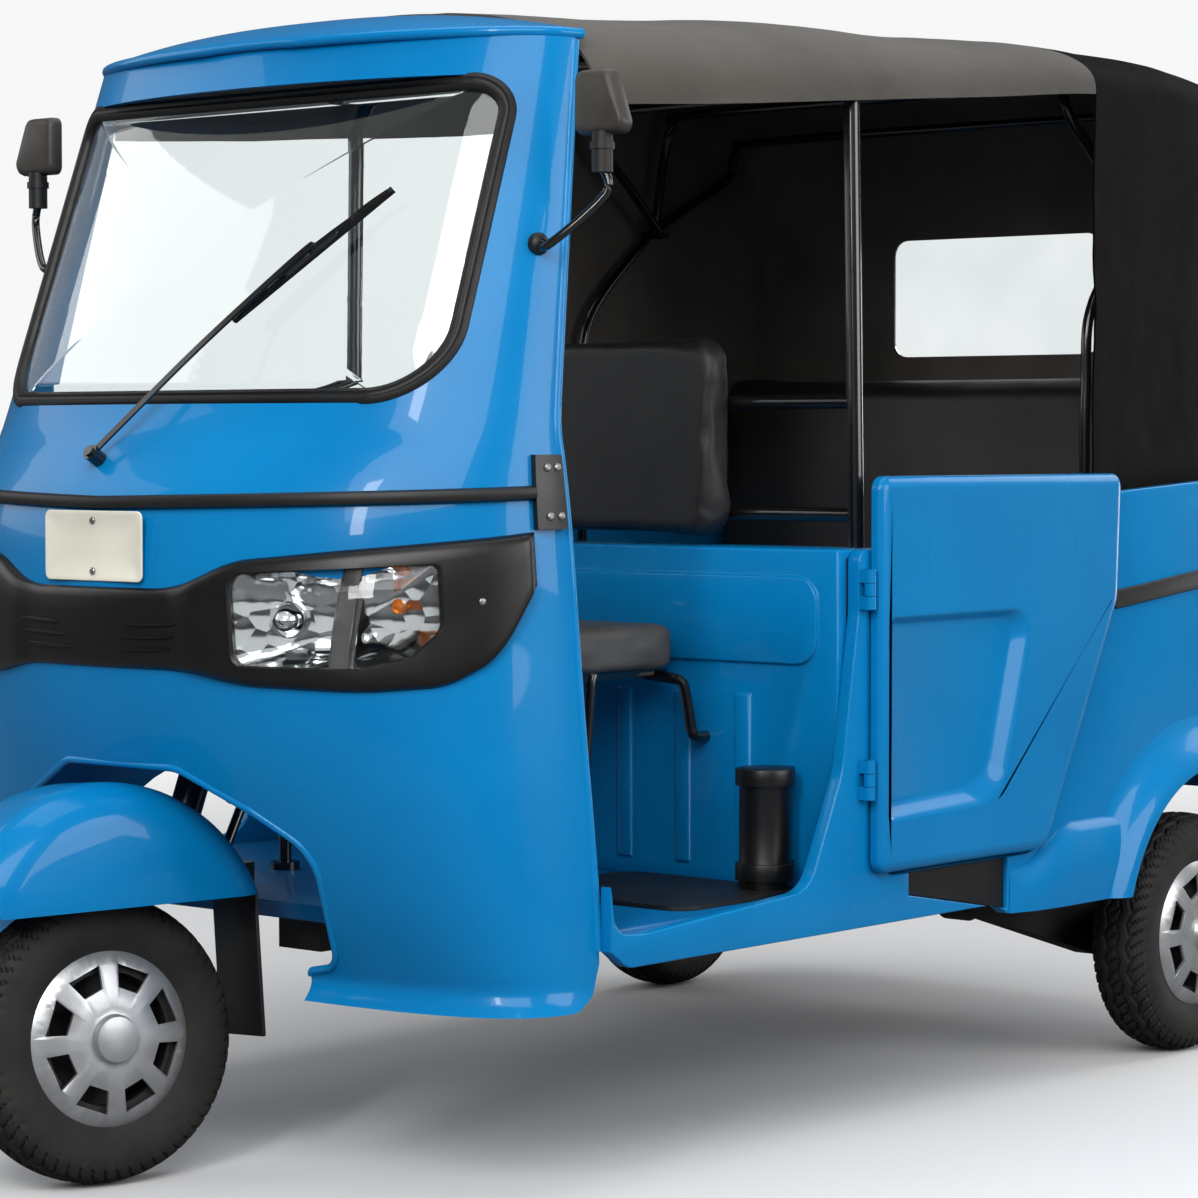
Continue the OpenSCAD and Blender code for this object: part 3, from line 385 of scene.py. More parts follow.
def circle(r, n=12):
    return [(r * math.cos(2 * math.pi * k / n), r * math.sin(2 * math.pi * k / n)) for k in range(n)]


def turned(place, axis, profile, r, height, n):
    """Rings of a profile, given as shares of the radius and the height, about an axis."""
    u = axis.orthogonal().normalized()
    w = axis.cross(u)
    return [[place + axis * (h * height) + (u * c + w * s) * (q * r) for c, s in circle(1, n)]
            for q, h in profile]


def merged(shapes):
    """One set of points and faces from several."""
    verts, faces = [], []
    for v, f in shapes:
        faces += [tuple(i + len(verts) for i in face) for face in f]
        verts += v
    return verts, faces


def tube(points, r, n=12):
    """Round tube through points in station millimetres, with smooth bends."""
    path = [at(p) for p in spline(points, 8)]
    lift = Vector((0.13, 0.21, 1)) if abs((path[-1] - path[0]).normalized().z) < 0.9 else Vector((1, 0.2, 0))
    return sweep(path, circle(r / 1000, n), lift)


def spline(points, steps):
    """Smooth curve through the points."""
    out = []
    for i in range(len(points) - 1):
        p0, p1, p2 = points[max(i - 1, 0)], points[i], points[i + 1]
        p3 = points[min(i + 2, len(points) - 1)]
        for k in range(steps):
            t = k / steps
            out.append(tuple(0.5 * (2 * b + (c - a) * t + (2 * a - 5 * b + 4 * c - d) * t * t +
                                    (3 * b - a - 3 * c + d) * t ** 3) for a, b, c, d in zip(p0, p1, p2, p3)))
    return out + [tuple(points[-1])]


def rounded(corners, steps=6):
    """Outline with rounded corners, each given as (x, y, radius)."""
    out = []
    for i, (x, y, r) in enumerate(corners):
        p = Vector((x, y))
        if r == 0:
            out.append((x, y))
            continue
        u = (Vector(corners[i - 1][:2]) - p).normalized()
        v = (Vector(corners[(i + 1) % len(corners)][:2]) - p).normalized()
        half = math.acos(max(-1, min(1, u.dot(v)))) / 2
        centre = p + (u + v).normalized() * (r / math.sin(half))
        s = p + u * (r / math.tan(half)) - centre
        e = p + v * (r / math.tan(half)) - centre
        start = math.atan2(s.y, s.x)
        turn = (math.atan2(e.y, e.x) - start + math.pi) % (2 * math.pi) - math.pi
        out += [(centre.x + r * math.cos(start + turn * k / steps),
                 centre.y + r * math.sin(start + turn * k / steps)) for k in range(steps + 1)]
    return out


def table(x, rows):
    """Value of a table at x, straight between its rows."""
    if x <= rows[0][0]:
        return rows[0][1]
    for (a, va), (b, vb) in zip(rows, rows[1:]):
        if x <= b:
            return va + (vb - va) * (x - a) / (b - a)
    return rows[-1][1]


def ease(t):
    t = max(0.0, min(1.0, t))
    return t * t * (3 - 2 * t)


def smooth_col(rows, x, c):
    """Smooth curve through one column of a table whose first column is x."""
    i = max([0] + [k for k in range(len(rows) - 1) if x >= rows[k][0]])

    def slope(k):
        a, b = rows[max(k - 1, 0)], rows[min(k + 1, len(rows) - 1)]
        return (b[c] - a[c]) / (b[0] - a[0])
    h = rows[i + 1][0] - rows[i][0]
    t = (x - rows[i][0]) / h
    return (rows[i][c] * (1 + 2 * t) * (1 - t) ** 2 + rows[i + 1][c] * t * t * (3 - 2 * t) +
            h * t * (1 - t) ** 2 * slope(i) + h * t * t * (t - 1) * slope(i + 1))


def softened(node, finish, width, body):
    """Copy of a CAD node with its edges rounded, standing for the node."""
    mesh = nodes[node].data.copy()
    bm = bmesh.new()
    bm.from_mesh(mesh)
    bmesh.ops.remove_doubles(bm, verts=bm.verts, dist=0.00002)
    bmesh.ops.dissolve_limit(bm, angle_limit=math.radians(0.6), verts=bm.verts, edges=bm.edges)
    bm.to_mesh(mesh)
    bm.free()
    piece = placed(node + "_soft", mesh)
    bevelled(piece, width, 28, 2)
    return settle(piece, finish, (node,), 50, body)


# Cab front
# columns: height, station of the nose, station of the rear edge, half width, power
FRONT_ROWS = [
    (265, 176, 402, 613.5, 3.6), (280, 187, 402, 606.5, 3.5), (296, 190, 402, 602.5, 3.4),
    (320, 178, 402, 601.5, 3.3), (400, 132, 400, 598.5, 2.9), (520, 75, 396, 590.5, 2.5),
    (650, 25, 390, 581.5, 2.2), (780, 0, 385, 573.5, 2.0), (900, 0, 381, 566.5, 2.0),
    (980, 15, 378, 560.5, 2.0), (1040, 52, 376, 553.5, 2.0), (1085, 86, 375, 547.5, 2.0),
    (1150, 116, 386, 540.5, 2.0), (1400, 217, 437, 512.5, 2.0), (1640, 314, 486, 485.5, 2.0)]
WALL = 20
SKIN_GAP = 0.9
LIP_H, SKIRT_TOP, COWL_TOP, FRAME_H = 265, 320, 1085, 1640
SIDES = (("left", 1), ("right", -1))


def front_point(z, turn, out):
    nose, rear, half, power = (smooth_col(FRONT_ROWS, z, c) for c in (1, 2, 3, 4))
    a = math.radians(turn)
    p = 2 / power
    return ((half + out) * math.copysign(abs(math.sin(a)) ** p, turn),
            rear - (rear - nose + out) * abs(math.cos(a)) ** p, z)


def skin(z, turn, out):
    return at(front_point(z, turn, out))


def standing(z, turn, out):
    """Place on the cab front, with the direction that stands out from it."""
    p = skin(z, turn, out)
    return p, (skin(z, turn, out + 20) - p).normalized()


def front_surface(x, z, out):
    """Point of the cab front over a place in the front view."""
    nose, rear, half, power = (smooth_col(FRONT_ROWS, z, c) for c in (1, 2, 3, 4))
    s = min(1.0, (abs(x) / (half + out)) ** (power / 2))
    return (x, rear - (rear - nose + out) * math.sqrt(1 - s * s) ** (2 / power), z)


def prism(outline, y0, y1):
    """Closed block with a front-view outline, between two stations."""
    return rings_closed([[at((x, y, z)) for x, z in outline] for y in (y0, y1)])


def side_prism(outline, x0, x1):
    """Closed block with a side-view outline, between two distances from the middle."""
    return rings_closed([[at((x, y, z)) for y, z in outline] for x in (x0, x1)])


# Windscreen opening: heights, half widths and corner radii at the bottom and the top
SCREEN_LOW, SCREEN_TOP = (1116, 468, 105), (1584, 457, 62)


def screen_outline(grow, steps=10):
    (low, low_half, low_r), (top, top_half, top_r) = SCREEN_LOW, SCREEN_TOP
    corners = [(-low_half - grow, low - grow, low_r + grow), (low_half + grow, low - grow, low_r + grow),
               (top_half + grow, top + grow, top_r + grow), (-top_half - grow, top + grow, top_r + grow)]
    return rounded(corners, steps)


# Outline of the lamps in turns (times a scale) and heights
TURN_SCALE = 9.0
LAMP_CORNERS = [(25, 750, 16), (45, 748, 30), (54, 764, 34), (60, 803, 22), (60, 895, 12), (25, 880, 22)]


def lamp_outline(grow=0.0, steps=6):
    outline = rounded([(t * TURN_SCALE, z, r) for t, z, r in LAMP_CORNERS], steps)
    cx = sum(p[0] for p in outline) / len(outline)
    cz = sum(p[1] for p in outline) / len(outline)
    k = 1 + grow / 110
    return [(cx + (x - cx) * k, cz + (z - cz) * k) for x, z in outline], (cx, cz)


def lamp_patch(side, outs, grow=0.0, rings=10):
    """Grid of rings from the middle of a lamp to its outline; outs gives the height off the cab by radius."""
    outline, (cx, cz) = lamp_outline(grow)
    grid = []
    for k in range(rings + 1):
        s = max(k / rings, 0.02)
        grid.append([skin(cz + (z - cz) * s, side * (cx + (x - cx) * s) / TURN_SCALE, outs(s))
                     for x, z in outline])
    return grid


def capped(outer, inner):
    """Closed lens or bowl between two ring grids."""
    rows, cols = len(outer), len(outer[0])
    n = rows * cols
    front = grid_faces(rows, cols, True)
    faces = front + [tuple(n + i for i in reversed(f)) for f in front]
    faces += [tuple(range(cols)), tuple(n + i for i in reversed(range(cols)))]
    last = (rows - 1) * cols
    faces += [(last + i, last + (i + 1) % cols, n + last + (i + 1) % cols, n + last + i) for i in range(cols)]
    return joined(outer) + joined(inner), faces


def lamp_block(side, out):
    """Block through the cab front that leaves a lamp's opening."""
    return capped(lamp_patch(side, lambda s: out), lamp_patch(side, lambda s: -40))


shell_turns = [math.copysign(45 * (1 - math.cos(math.pi * abs(s) / 70)), s) for s in range(-70, 71)]
shell_heights = (spaced(LIP_H, SKIRT_TOP, 16)[:-1] + spaced(SKIRT_TOP, COWL_TOP, 60)[:-1] +
                 spaced(COWL_TOP, FRAME_H, 24))
shell = scratch("cab_shell", *sheet(skin, shell_heights, shell_turns, 0, -WALL))
ARCH_FOOT, ARCH_HALF, ARCH_H = 238, 325, 600
arch_right = [(ARCH_FOOT, 245, 0), (ARCH_FOOT, 306, 8), (ARCH_HALF - 25, 318, 40), (ARCH_HALF, 485, 70),
              (ARCH_HALF - 95, 545, 60), (ARCH_HALF - 210, ARCH_H, 60)]
arch_outline = rounded(arch_right + [(-x, z, r) for x, z, r in reversed(arch_right)], 10)
# Corner of the skirt in the side view, where it turns up to the sill
skirt_corner = rounded([(300, 264, 0), (345, 266, 30), (386, 285, 30), (404, 335, 0), (430, 335, 0),
                        (430, 235, 0), (300, 235, 0)], 8)
cut(shell, prism(screen_outline(0), -60, 580), prism(arch_outline, -60, 360),
    side_prism(skirt_corner, 385, 700), side_prism(skirt_corner, -385, -700),
    lamp_block(1, 12), lamp_block(-1, 12))
settle(shell, paint, ("front_shell",), 35)

# Rolled lips of the cab front: round the arch and up the rear edges
arch_path = [at(front_surface(x, z, -2)) for x, z in arch_outline if z > 300]
make("arch_lip", *sweep(arch_path, circle(0.006, 10), Vector((0, -1, 0.2))), paint)
for name, side in SIDES:
    rear = [skin(z, side * 90, -4) for z in spaced(345, 1636, 50)]
    make("rear_lip_" + name, *sweep(rear, circle(0.008, 10), Vector((0, 1, 0))), paint)

# Roof cap with its rolled front edge
CAP_NOSE, CAP_REAR, CAP_HALF = 306, 499.7, 483.5


def cap_point(t, s, up):
    w = CAP_HALF * math.sqrt(max(0.0, 1 - (1 - t) ** 2))
    return at((w * s, CAP_NOSE + (CAP_REAR - CAP_NOSE) * t,
               FRAME_H + 0.3 + up + 46 * (1 - (1 - t) ** 2) * (1 - abs(s) ** 2.4)))


cap_steps = [0.02 + 0.98 * (k / 28) ** 1.6 for k in range(29)]
cap_sides = [k / 40 for k in range(-40, 41)]
make("roof_peak", *sheet(cap_point, cap_steps, cap_sides, 12, 0), paint, ("roof_cap",))
peak_edge = [cap_point(0.02, -k / 20, 6) for k in range(20, -21, -1)]
cap_rim = ([cap_point(t, -1, 6) for t in reversed(cap_steps)] + peak_edge[1:-1] +
           [cap_point(t, 1, 6) for t in cap_steps])
make("roof_peak_lip", *sweep(cap_rim, circle(0.008, 10), Vector((0, 0, 1))), paint)

# Windscreen in its rubber
SCREEN_MID = 1350
screen_edge = screen_outline(-17, 12)
seal_edge = screen_outline(-9, 14)


def screen_rings(out):
    shares = [max(k / 14, 0.02) for k in range(15)]
    return [[at(front_surface(x * f, SCREEN_MID + (z - SCREEN_MID) * f, out)) for x, z in screen_edge]
            for f in shares]


make("windscreen_glass", *capped(screen_rings(-6), screen_rings(-11)), glass, ("windscreen",))
rubber_path = [at(front_surface(x, z, -1)) for x, z in seal_edge]


def screen_up(i):
    x, z = seal_edge[i]
    a, b, c = (Vector(front_surface(x + dx, z + dz, 0)) for dx, dz in ((0, 0), (-4, 0), (0, 4)))
    normal = (b - a).cross(c - a).normalized()
    return normal if normal.y < 0 else -normal


rubber_section = [(-0.014, -0.010), (0.013, -0.010), (0.014, -0.002), (0.010, 0.005), (0.004, 0.007),
                  (0.001, 0.004), (-0.003, 0.004), (-0.006, 0.007), (-0.011, 0.004), (-0.014, -0.002)]
make("screen_seal", *sweep(rubber_path, rubber_section, screen_up, True), rubber,
     ("windscreen_rubber",), 60)

# Lamp mask: bezels and grille bar in one moulding
MASK_LOW = [(0, 741), (15, 741), (20, 733), (25, 722), (45, 716), (60, 724), (70, 760), (80, 872)]
MASK_TOP = [(0, 856), (15, 856), (20, 874), (25, 897), (45, 914), (60, 924), (70, 930), (80, 937)]
MASK_OUT, MASK_END = 16, 80
# columns: share of the height, height off the cab
mask_rows = [(0, SKIN_GAP), (0.012, 7), (0.03, 11.5), (0.07, 14.5), (0.13, MASK_OUT), (0.3, MASK_OUT),
             (0.5, MASK_OUT), (0.7, MASK_OUT), (0.87, MASK_OUT), (0.93, 14.5), (0.97, 11.5), (0.988, 7),
             (1, SKIN_GAP)]
FRONT_TURNS = range(-MASK_END, MASK_END + 1)


def soft_table(x, rows):
    """Value of a table at the size of x, averaged over three units to each side."""
    return sum(table(abs(x + d), rows) for d in range(-3, 4)) / 7


def mask_grid(back):
    grid = []
    for v, out in mask_rows:
        row = []
        for t in FRONT_TURNS:
            low, top = soft_table(t, MASK_LOW), soft_table(t, MASK_TOP)
            end = ease((MASK_END - abs(t)) / 2.5)
            bar = 1 - 0.45 * (1 - ease((abs(t) - 14) / 5))
            height = SKIN_GAP + (out - SKIN_GAP) * end * bar
            row.append(skin(low + (top - low) * v, t, SKIN_GAP if back else max(height, SKIN_GAP + 0.2)))
        grid.append(row)
    return grid


mask = scratch("lamp_bezel", *thick(mask_grid(False), mask_grid(True)))
cut(mask, lamp_block(1, 40), lamp_block(-1, 40))
settle(mask, black_plastic, ("lamp_mask",), 50)

# Lamps: bowl, lens, divider, bulbs and the black well round them
# columns: turn past the divider's edge, height off the cab
DIVIDER_SECTION = [(-0.2, -20), (0, 1), (0.4, 4), (2.9, 4), (3.2, 1), (3.4, -6), (4.0, -6), (4.2, -20)]
# columns: share of the radius, height in radii
BULB_PROFILE = [(0.02, 0), (0.8, 0.1), (1.0, 0.5), (0.9, 1.0), (0.55, 1.5), (0.2, 1.75), (0.02, 1.8)]
STUD_PROFILE = [(1.0, -0.2), (1.0, 0.45), (0.8, 0.8), (0.45, 0.97), (0.42, 0.75), (0.02, 0.75)]
for name, side in SIDES:
    bowl = lamp_patch(side, lambda s: -42 + 44 * s ** 3, -2, 14)
    bowl_back = lamp_patch(side, lambda s: -46 + 44 * s ** 3, -1, 14)
    make("lamp_bowl_" + name, *capped(bowl, bowl_back), reflector, ("headlamps",), 60)
    lens_faces = (lamp_patch(side, lambda s: 13 - 3 * s ** 4, -1.5),
                  lamp_patch(side, lambda s: 10 - 3 * s ** 4, -1.5))
    make("lamp_lens_" + name, *capped(*lens_faces), lens)
    loop, _ = lamp_outline(0)
    loop_in, _ = lamp_outline(-3)
    well, well_in = ([[skin(z, side * x / TURN_SCALE, out) for x, z in ring + ring[:1]] for out in outs]
                     for ring, outs in ((loop, (16, 4, -3)), (loop_in, (14, 4, -3))))
    make("lamp_well_" + name, *thick(well, well_in), black_plastic)
    divider = [[skin(748 + 14 * k, side * (40.2 + 0.36 * k + d), out) for d, out in DIVIDER_SECTION]
               for k in range(11)]
    make("lamp_divider_" + name, joined(divider), grid_faces(11, len(DIVIDER_SECTION)),
         trim_grey)
    bulbs = []
    for turn, z, r, deep in ((33, 815, 13, -22), (34, 815, 26, -36), (53, 835, 11, -18)):
        rings = turned(*standing(z, side * turn, deep), BULB_PROFILE, r / 1000, r / 1000, 20)
        bulbs.append((joined(rings), grid_faces(len(rings), 20, True)))
    make("lamp_bulbs_" + name, *merged(bulbs[:2]), chrome)
    make("turn_bulb_" + name, *bulbs[2], amber)

# Fins on the grille bar, three on each side of the bare middle
fins = []
for side in (1, -1):
    for z, start, end in ((768, 4.5, 14.5), (786, 5.5, 15.5), (804, 7, 16.5)):
        rows = []
        for k, t in enumerate(spaced(start, end, 14)):
            width = 5.5 * math.sin(math.pi * min(1.0, (k + 0.35) / 5) / 2) * (1 if k < 13 else 0.6)
            rise = 3 * (k / 14) ** 2
            rows.append([skin(z + rise + dz * width, side * t, out) for dz, out in
                         ((-0.5, 8), (-0.5, 11), (-0.25, 13.5), (0.25, 13.5), (0.5, 11), (0.5, 8))])
        fins.append(rings_closed(rows))
make("grille_fins", *merged(fins), black_plastic)

# Rubbing strip across the cowl, with its end brackets
STRIP_H, STRIP_RISE = 975, 16


def strip_z(t):
    return STRIP_H + STRIP_RISE * abs(t) / MASK_END


strip_path = [skin(strip_z(t), t, 7) for t in FRONT_TURNS]
strip_section = [(-0.009, -0.006), (0.009, -0.006), (0.010, 0.000), (0.007, 0.006), (0.003, 0.0075),
                 (-0.003, 0.0075), (-0.007, 0.006), (-0.010, 0.000)]


def strip_up(i):
    t = FRONT_TURNS[i]
    return standing(strip_z(t), t, 0)[1]


make("cowl_strip", *sweep(strip_path, strip_section, strip_up), rubber, ("front_strip",))


def studs(places, r, height):
    """Domed fastener heads at places with the direction they stand out in."""
    return merged([rings_closed(turned(place, out, STUD_PROFILE, r, height, 14)) for place, out in places])


brackets, bracket_bolts, mask_screws = [], [], []
for side in (1, -1):
    brackets.append(sheet(skin, spaced(940, 1044, 10), [side * t for t in range(80, 89)], 11, SKIN_GAP))
    bracket_bolts += [standing(z, side * t, 11) for z in (958, 1026) for t in (83.2, 86.2)]
    mask_screws.append(standing(842, side * 67, 16))
make("strip_brackets", *merged(brackets), black_plastic)
make("bracket_bolts", *studs(bracket_bolts, 0.006, 0.004), steel)
make("mask_screws", *studs(mask_screws, 0.005, 0.002), steel)

# Number plate: rounded, bare, on its two bolts
plate_low, plate_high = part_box("front_plate")
plate_mid = (plate_low + plate_high) / 2
plate_shape = rounded([(plate_low.x, plate_low.z, 0.010), (plate_high.x, plate_low.z, 0.010),
                       (plate_high.x, plate_high.z, 0.010), (plate_low.x, plate_high.z, 0.010)], 6)


def inset(shape, by):
    mx = sum(p[0] for p in shape) / len(shape)
    mz = sum(p[1] for p in shape) / len(shape)
    return [(x - math.copysign(by, x - mx), z - math.copysign(by, z - mz)) for x, z in shape]


plate_rings = [[Vector((x, y, z)) for x, z in inset(plate_shape, by)] for by, y in
               ((0.0005, plate_high.y), (0, plate_high.y - 0.001), (0, plate_low.y + 0.001),
                (0.0008, plate_low.y), (0.006, plate_low.y), (0.0075, plate_low.y + 0.0007),
                (0.04, plate_low.y + 0.0007))]
make("blank_plate", *rings_closed(plate_rings), cream, ("front_plate",), 30)
make("plate_bolts", *studs([(Vector((0, plate_low.y + 0.0007, plate_mid.z + s * 0.036)), Vector((0, -1, 0)))
                            for s in (1, -1)], 0.0055, 0.004), steel)

# Wiper: foot, flat arm, and a blade hung on its bridges
FOOT, UP = Vector((-45, 50, 1035)), Vector((0, -0.85, 0.53))
LOW, TOP = Vector((140, 138, 1234)), Vector((340, 258, 1418))
MIDDLE = (LOW + TOP) / 2
blade_out = Vector((0.1, -0.9, 0.38)).normalized()
wiper = [sweep([at(FOOT), at(FOOT + UP * 24)], circle(0.012, 20), ACROSS),
         sweep([at(FOOT + UP * 24), at(FOOT + UP * 28)], circle(0.008, 20), ACROSS)]
arm = spline([FOOT + UP * 18, FOOT + UP * 20 + (MIDDLE - FOOT) * 0.16,
              FOOT + (MIDDLE - FOOT) * 0.55 + blade_out * 26, MIDDLE + blade_out * 18,
              MIDDLE + blade_out * 8], 8)


def flat_bar(half, thin):
    return [(-half, -thin), (half, -thin), (half, thin), (-half, thin)]


wiper.append(sweep([at(p) for p in arm], flat_bar(0.0045, 0.002), blade_out))
along = (TOP - LOW).normalized()
length = (TOP - LOW).length
for start, end, lift in ((0.12, 0.88, 9), (0.02, 0.34, 5), (0.66, 0.98, 5)):
    bow = [at(LOW + along * length * f + blade_out * (3 + lift * math.sin(math.pi * k / 10)))
           for k, f in enumerate(spaced(start, end, 10))]
    wiper.append(sweep(bow, flat_bar(0.003, 0.0015), blade_out))
make("wiper_arm", *merged(wiper), black_paint, ("wiper",), slot="black_plastic")
edge = [at(LOW + along * length * k / 12) for k in range(13)]
blade_section = [(-0.004, 0.003), (-0.004, -0.001), (-0.001, -0.003), (-0.0008, -0.008), (0.0008, -0.008),
                 (0.001, -0.003), (0.004, -0.001), (0.004, 0.003)]
make("wiper_blade", *sweep(edge, blade_section, blade_out), rubber)

# Mirrors: housing on a bent arm, glass behind
MIRROR_X, MIRROR_Y, MIRROR_LOW, MIRROR_TOP = 552.5, 398, 1491, 1582
ARM_H, ARM_TURN, ARM_R = 1340, 78, 6.5
# columns: inset of the outline, station behind the mirror's front
CASE_LEVELS = ((12, 26), (2, 26), (0, 24), (0, 14), (2, 6), (5, 2), (9, 0.4))
GLASS_LEVELS = ((7, 25), (7, 27), (10, 27.4))


def dome(outline, levels):
    """Closed shape of an outline in the front view through its levels."""
    return rings_closed([[at((x, MIRROR_Y + y, z)) for x, z in inset(outline, by)] for by, y in levels])


for name, side in SIDES:
    corners = [(MIRROR_X, MIRROR_LOW, 12), (MIRROR_X + 97, MIRROR_LOW, 14), (MIRROR_X + 66, MIRROR_TOP, 14),
               (MIRROR_X, MIRROR_TOP, 12)]
    mirror_edge = [(side * x, z) for x, z in rounded(corners, 8)]
    make("mirror_case_" + name, *dome(mirror_edge, CASE_LEVELS), mirror_grey, ("mirrors",))
    make("mirror_glass_" + name, *dome(mirror_edge, GLASS_LEVELS), mirror_glass)
    foot = front_point(ARM_H, side * ARM_TURN, 1)
    knuckle = MIRROR_X + 46
    arm_points = [foot, front_point(ARM_H, side * ARM_TURN, 32), (side * (knuckle + 6), MIRROR_Y + 13, 1408),
                  (side * knuckle, MIRROR_Y + 13, 1446)]
    make("mirror_arm_" + name, *tube(arm_points, ARM_R), black_paint)
    neck = [at((side * knuckle, MIRROR_Y + 13, z)) for z in (1438, 1444, 1470, 1480, MIRROR_LOW + 4)]
    sleeve = [sweep(path, circle(r, 20), ACROSS) for path, r in ((neck, 0.015), (neck[2:4], 0.0175))]
    make("mirror_knuckle_" + name, *merged(sleeve), rubber)
    make("mirror_foot_" + name, *studs([standing(ARM_H, side * ARM_TURN, 1)], 0.016, 0.012), rubber)

# Hood: canvas over the bows, with a sag between them and fine creases
# columns: station, half width, height of the hem, height of the crown
HOOD_ROWS = [(500, 512, 1545, 1704), (750, 545, 1561, 1722), (1070, 572, 1588, 1740),
             (1400, 585, 1616, 1752), (1690, 592, 1641, 1758), (1950, 592, 1641, 1756),
             (2100, 588, 1630, 1744), (2190, 580, 1605, 1716), (2262, 566, 1540, 1662)]
HOOD_T = 4
# height of the middle of the cabin, to tell the canvas's inside from its outside
LINING_HEART = 1.25
HOOD_POWER = 2 / 2.7
# height of the body's waist over the rear axle, and its rise per millimetre
WAIST_H, WAIST_RISE = 993, 0.055


def waist(y):
    return WAIST_H + (y - WHEELBASE) * WAIST_RISE


def crease(p, size, depth, seed):
    """Small in-and-out of canvas at a place, in millimetres."""
    q = Vector((p[0] / size, p[1] / size, p[2] / size + seed))
    return depth * noise.fractal(q, 0.8, 2.0, 3)


def hood_point(y, turn, out):
    half, hem, crown = (smooth_col(HOOD_ROWS, y, c) for c in (1, 2, 3))
    a = math.radians(turn)
    return ((half + out) * math.copysign(abs(math.sin(a)) ** HOOD_POWER, turn), y,
            hem + (crown + out - hem) * abs(math.cos(a)) ** HOOD_POWER)


def hood_sag(y, turn):
    """How far the canvas hangs in between the cap, the post bow and the joint."""
    spans = ((500, 1079, 7), (1079, 1690, 8), (1720, 1930, 3), (1930, 2150, 4))
    drop = sum(d * math.sin(math.pi * (y - a) / (b - a)) ** 2 for a, b, d in spans if a < y < b)
    return drop * math.cos(math.radians(turn)) ** 0.6 if abs(turn) < 90 else 0


def hood_grid(stations, turns, out, drop_to):
    grid = []
    for y in stations:
        row = []
        for t in turns:
            base = hood_point(y, t, 0)
            sag = -hood_sag(y, t) - 1.5 + crease((base[0], base[1] * 0.5, base[2]), 130, 2.2, 3)
            row.append(Vector(hood_point(y, t, min(sag, 2) + out)))
        if drop_to:
            side = []
            for k in range(1, 29):
                f = k / 28
                z = row[-1].z + (drop_to(y) - row[-1].z) * f
                fold = 2.5 * math.sin((y - 1690) / 46 + f * 1.2) * math.sin(math.pi * f) ** 0.7
                proud = fold + crease((600, y, z), 150, 4, 7) - 1.5
                side.append((row[-1].x + proud * ease(f * 3), z))
            mirrored = [Vector((-x, y, z)) for x, z in reversed(side)]
            row = mirrored + row + [Vector((x, y, z)) for x, z in side]
        grid.append([at(p) for p in row])
    return grid


def lined(piece, inside):
    """Gives the lining to the faces of a canvas that lie inside."""
    piece.data.materials.append(hood_lining.material)
    for face in piece.data.polygons:
        face.material_index = int(inside(face))


def faces_cabin(face):
    return face.normal.dot(Vector((0, face.center.y, LINING_HEART)) - face.center) > 0


def canvas(name, stations, drop_to, finish, replaces):
    turns = spaced(-90, 90, 96)
    grid, back = (hood_grid(stations, turns, out, drop_to) for out in (0, -HOOD_T))
    piece = make(name, *thick(grid, back), finish, replaces, 60)
    lined(piece, faces_cabin)


canvas("roof_canvas", spaced(500.5, 1689, 74), None, hood_grey, ("hood_front",))
canvas("rear_canvas", spaced(1690, 2262, 44), lambda y: waist(y) - 12, hood_black, ("hood_rear_half",))


# Soft pieces: cushions swelled by a cloth simulation
def cushion(name, node, finish, shrink, cap, room=None):
    """Cushion from a CAD node: a slightly smaller shape in its room, blown up and held within the cap."""
    old_low, old_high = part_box(node)
    low, high = room or (old_low, old_high)
    mid, old_mid = (low + high) / 2, (old_low + old_high) / 2
    size, old_size = high - low, old_high - old_low
    piece = placed(name, nodes[node].data.copy())
    for v in piece.data.vertices:
        v.co = Vector(mid[i] + (v.co[i] - old_mid[i]) * (size[i] - 2 * shrink / 1000) / old_size[i]
                      for i in range(3))
    add_modifier(piece, "REMESH", mode="VOXEL", voxel_size=0.009 if max(size) > 0.9 else 0.007)
    apply_modifiers(piece)
    rest = [v.co.copy() for v in piece.data.vertices]
    cloth = add_modifier(piece, "CLOTH")
    cloth.settings.use_pressure = True
    cloth.settings.uniform_pressure_force = 4
    cloth.settings.effector_weights.gravity = 0
    cloth.settings.quality = 4
    scene = bpy.context.scene
    for f in range(1, 16):
        scene.frame_set(f)
    apply_modifiers(piece)
    scene.frame_set(1)
    for v, r in zip(piece.data.vertices, rest):
        move = v.co - r
        if move.length > cap / 1000:
            v.co = r + move.normalized() * (cap / 1000)
        for i in range(3):
            v.co[i] = min(max(v.co[i], low[i] + 0.0005), high[i] - 0.0005)
    add_modifier(piece, "SMOOTH", iterations=6, factor=0.5)
    apply_modifiers(piece)
    settle(piece, finish, (node,), 80)


DRIVER_HALF = 330
DRIVER_SEAT = (at((-DRIVER_HALF, 600, 706)), at((DRIVER_HALF, 940, 778)))
DRIVER_BACK = (at((-DRIVER_HALF, 1004, 900)), at((DRIVER_HALF, 1067, 1240)))
cushion("driver_cushion", "driver_seat", seat_grey, 6, 10, DRIVER_SEAT)
cushion("driver_back_cushion", "driver_backrest", seat_vinyl, 6, 12, DRIVER_BACK)
cushion("passenger_cushion", "passenger_seat", seat_vinyl, 8, 16)
cushion("passenger_back_cushion", "passenger_backrest", seat_vinyl, 8, 16)

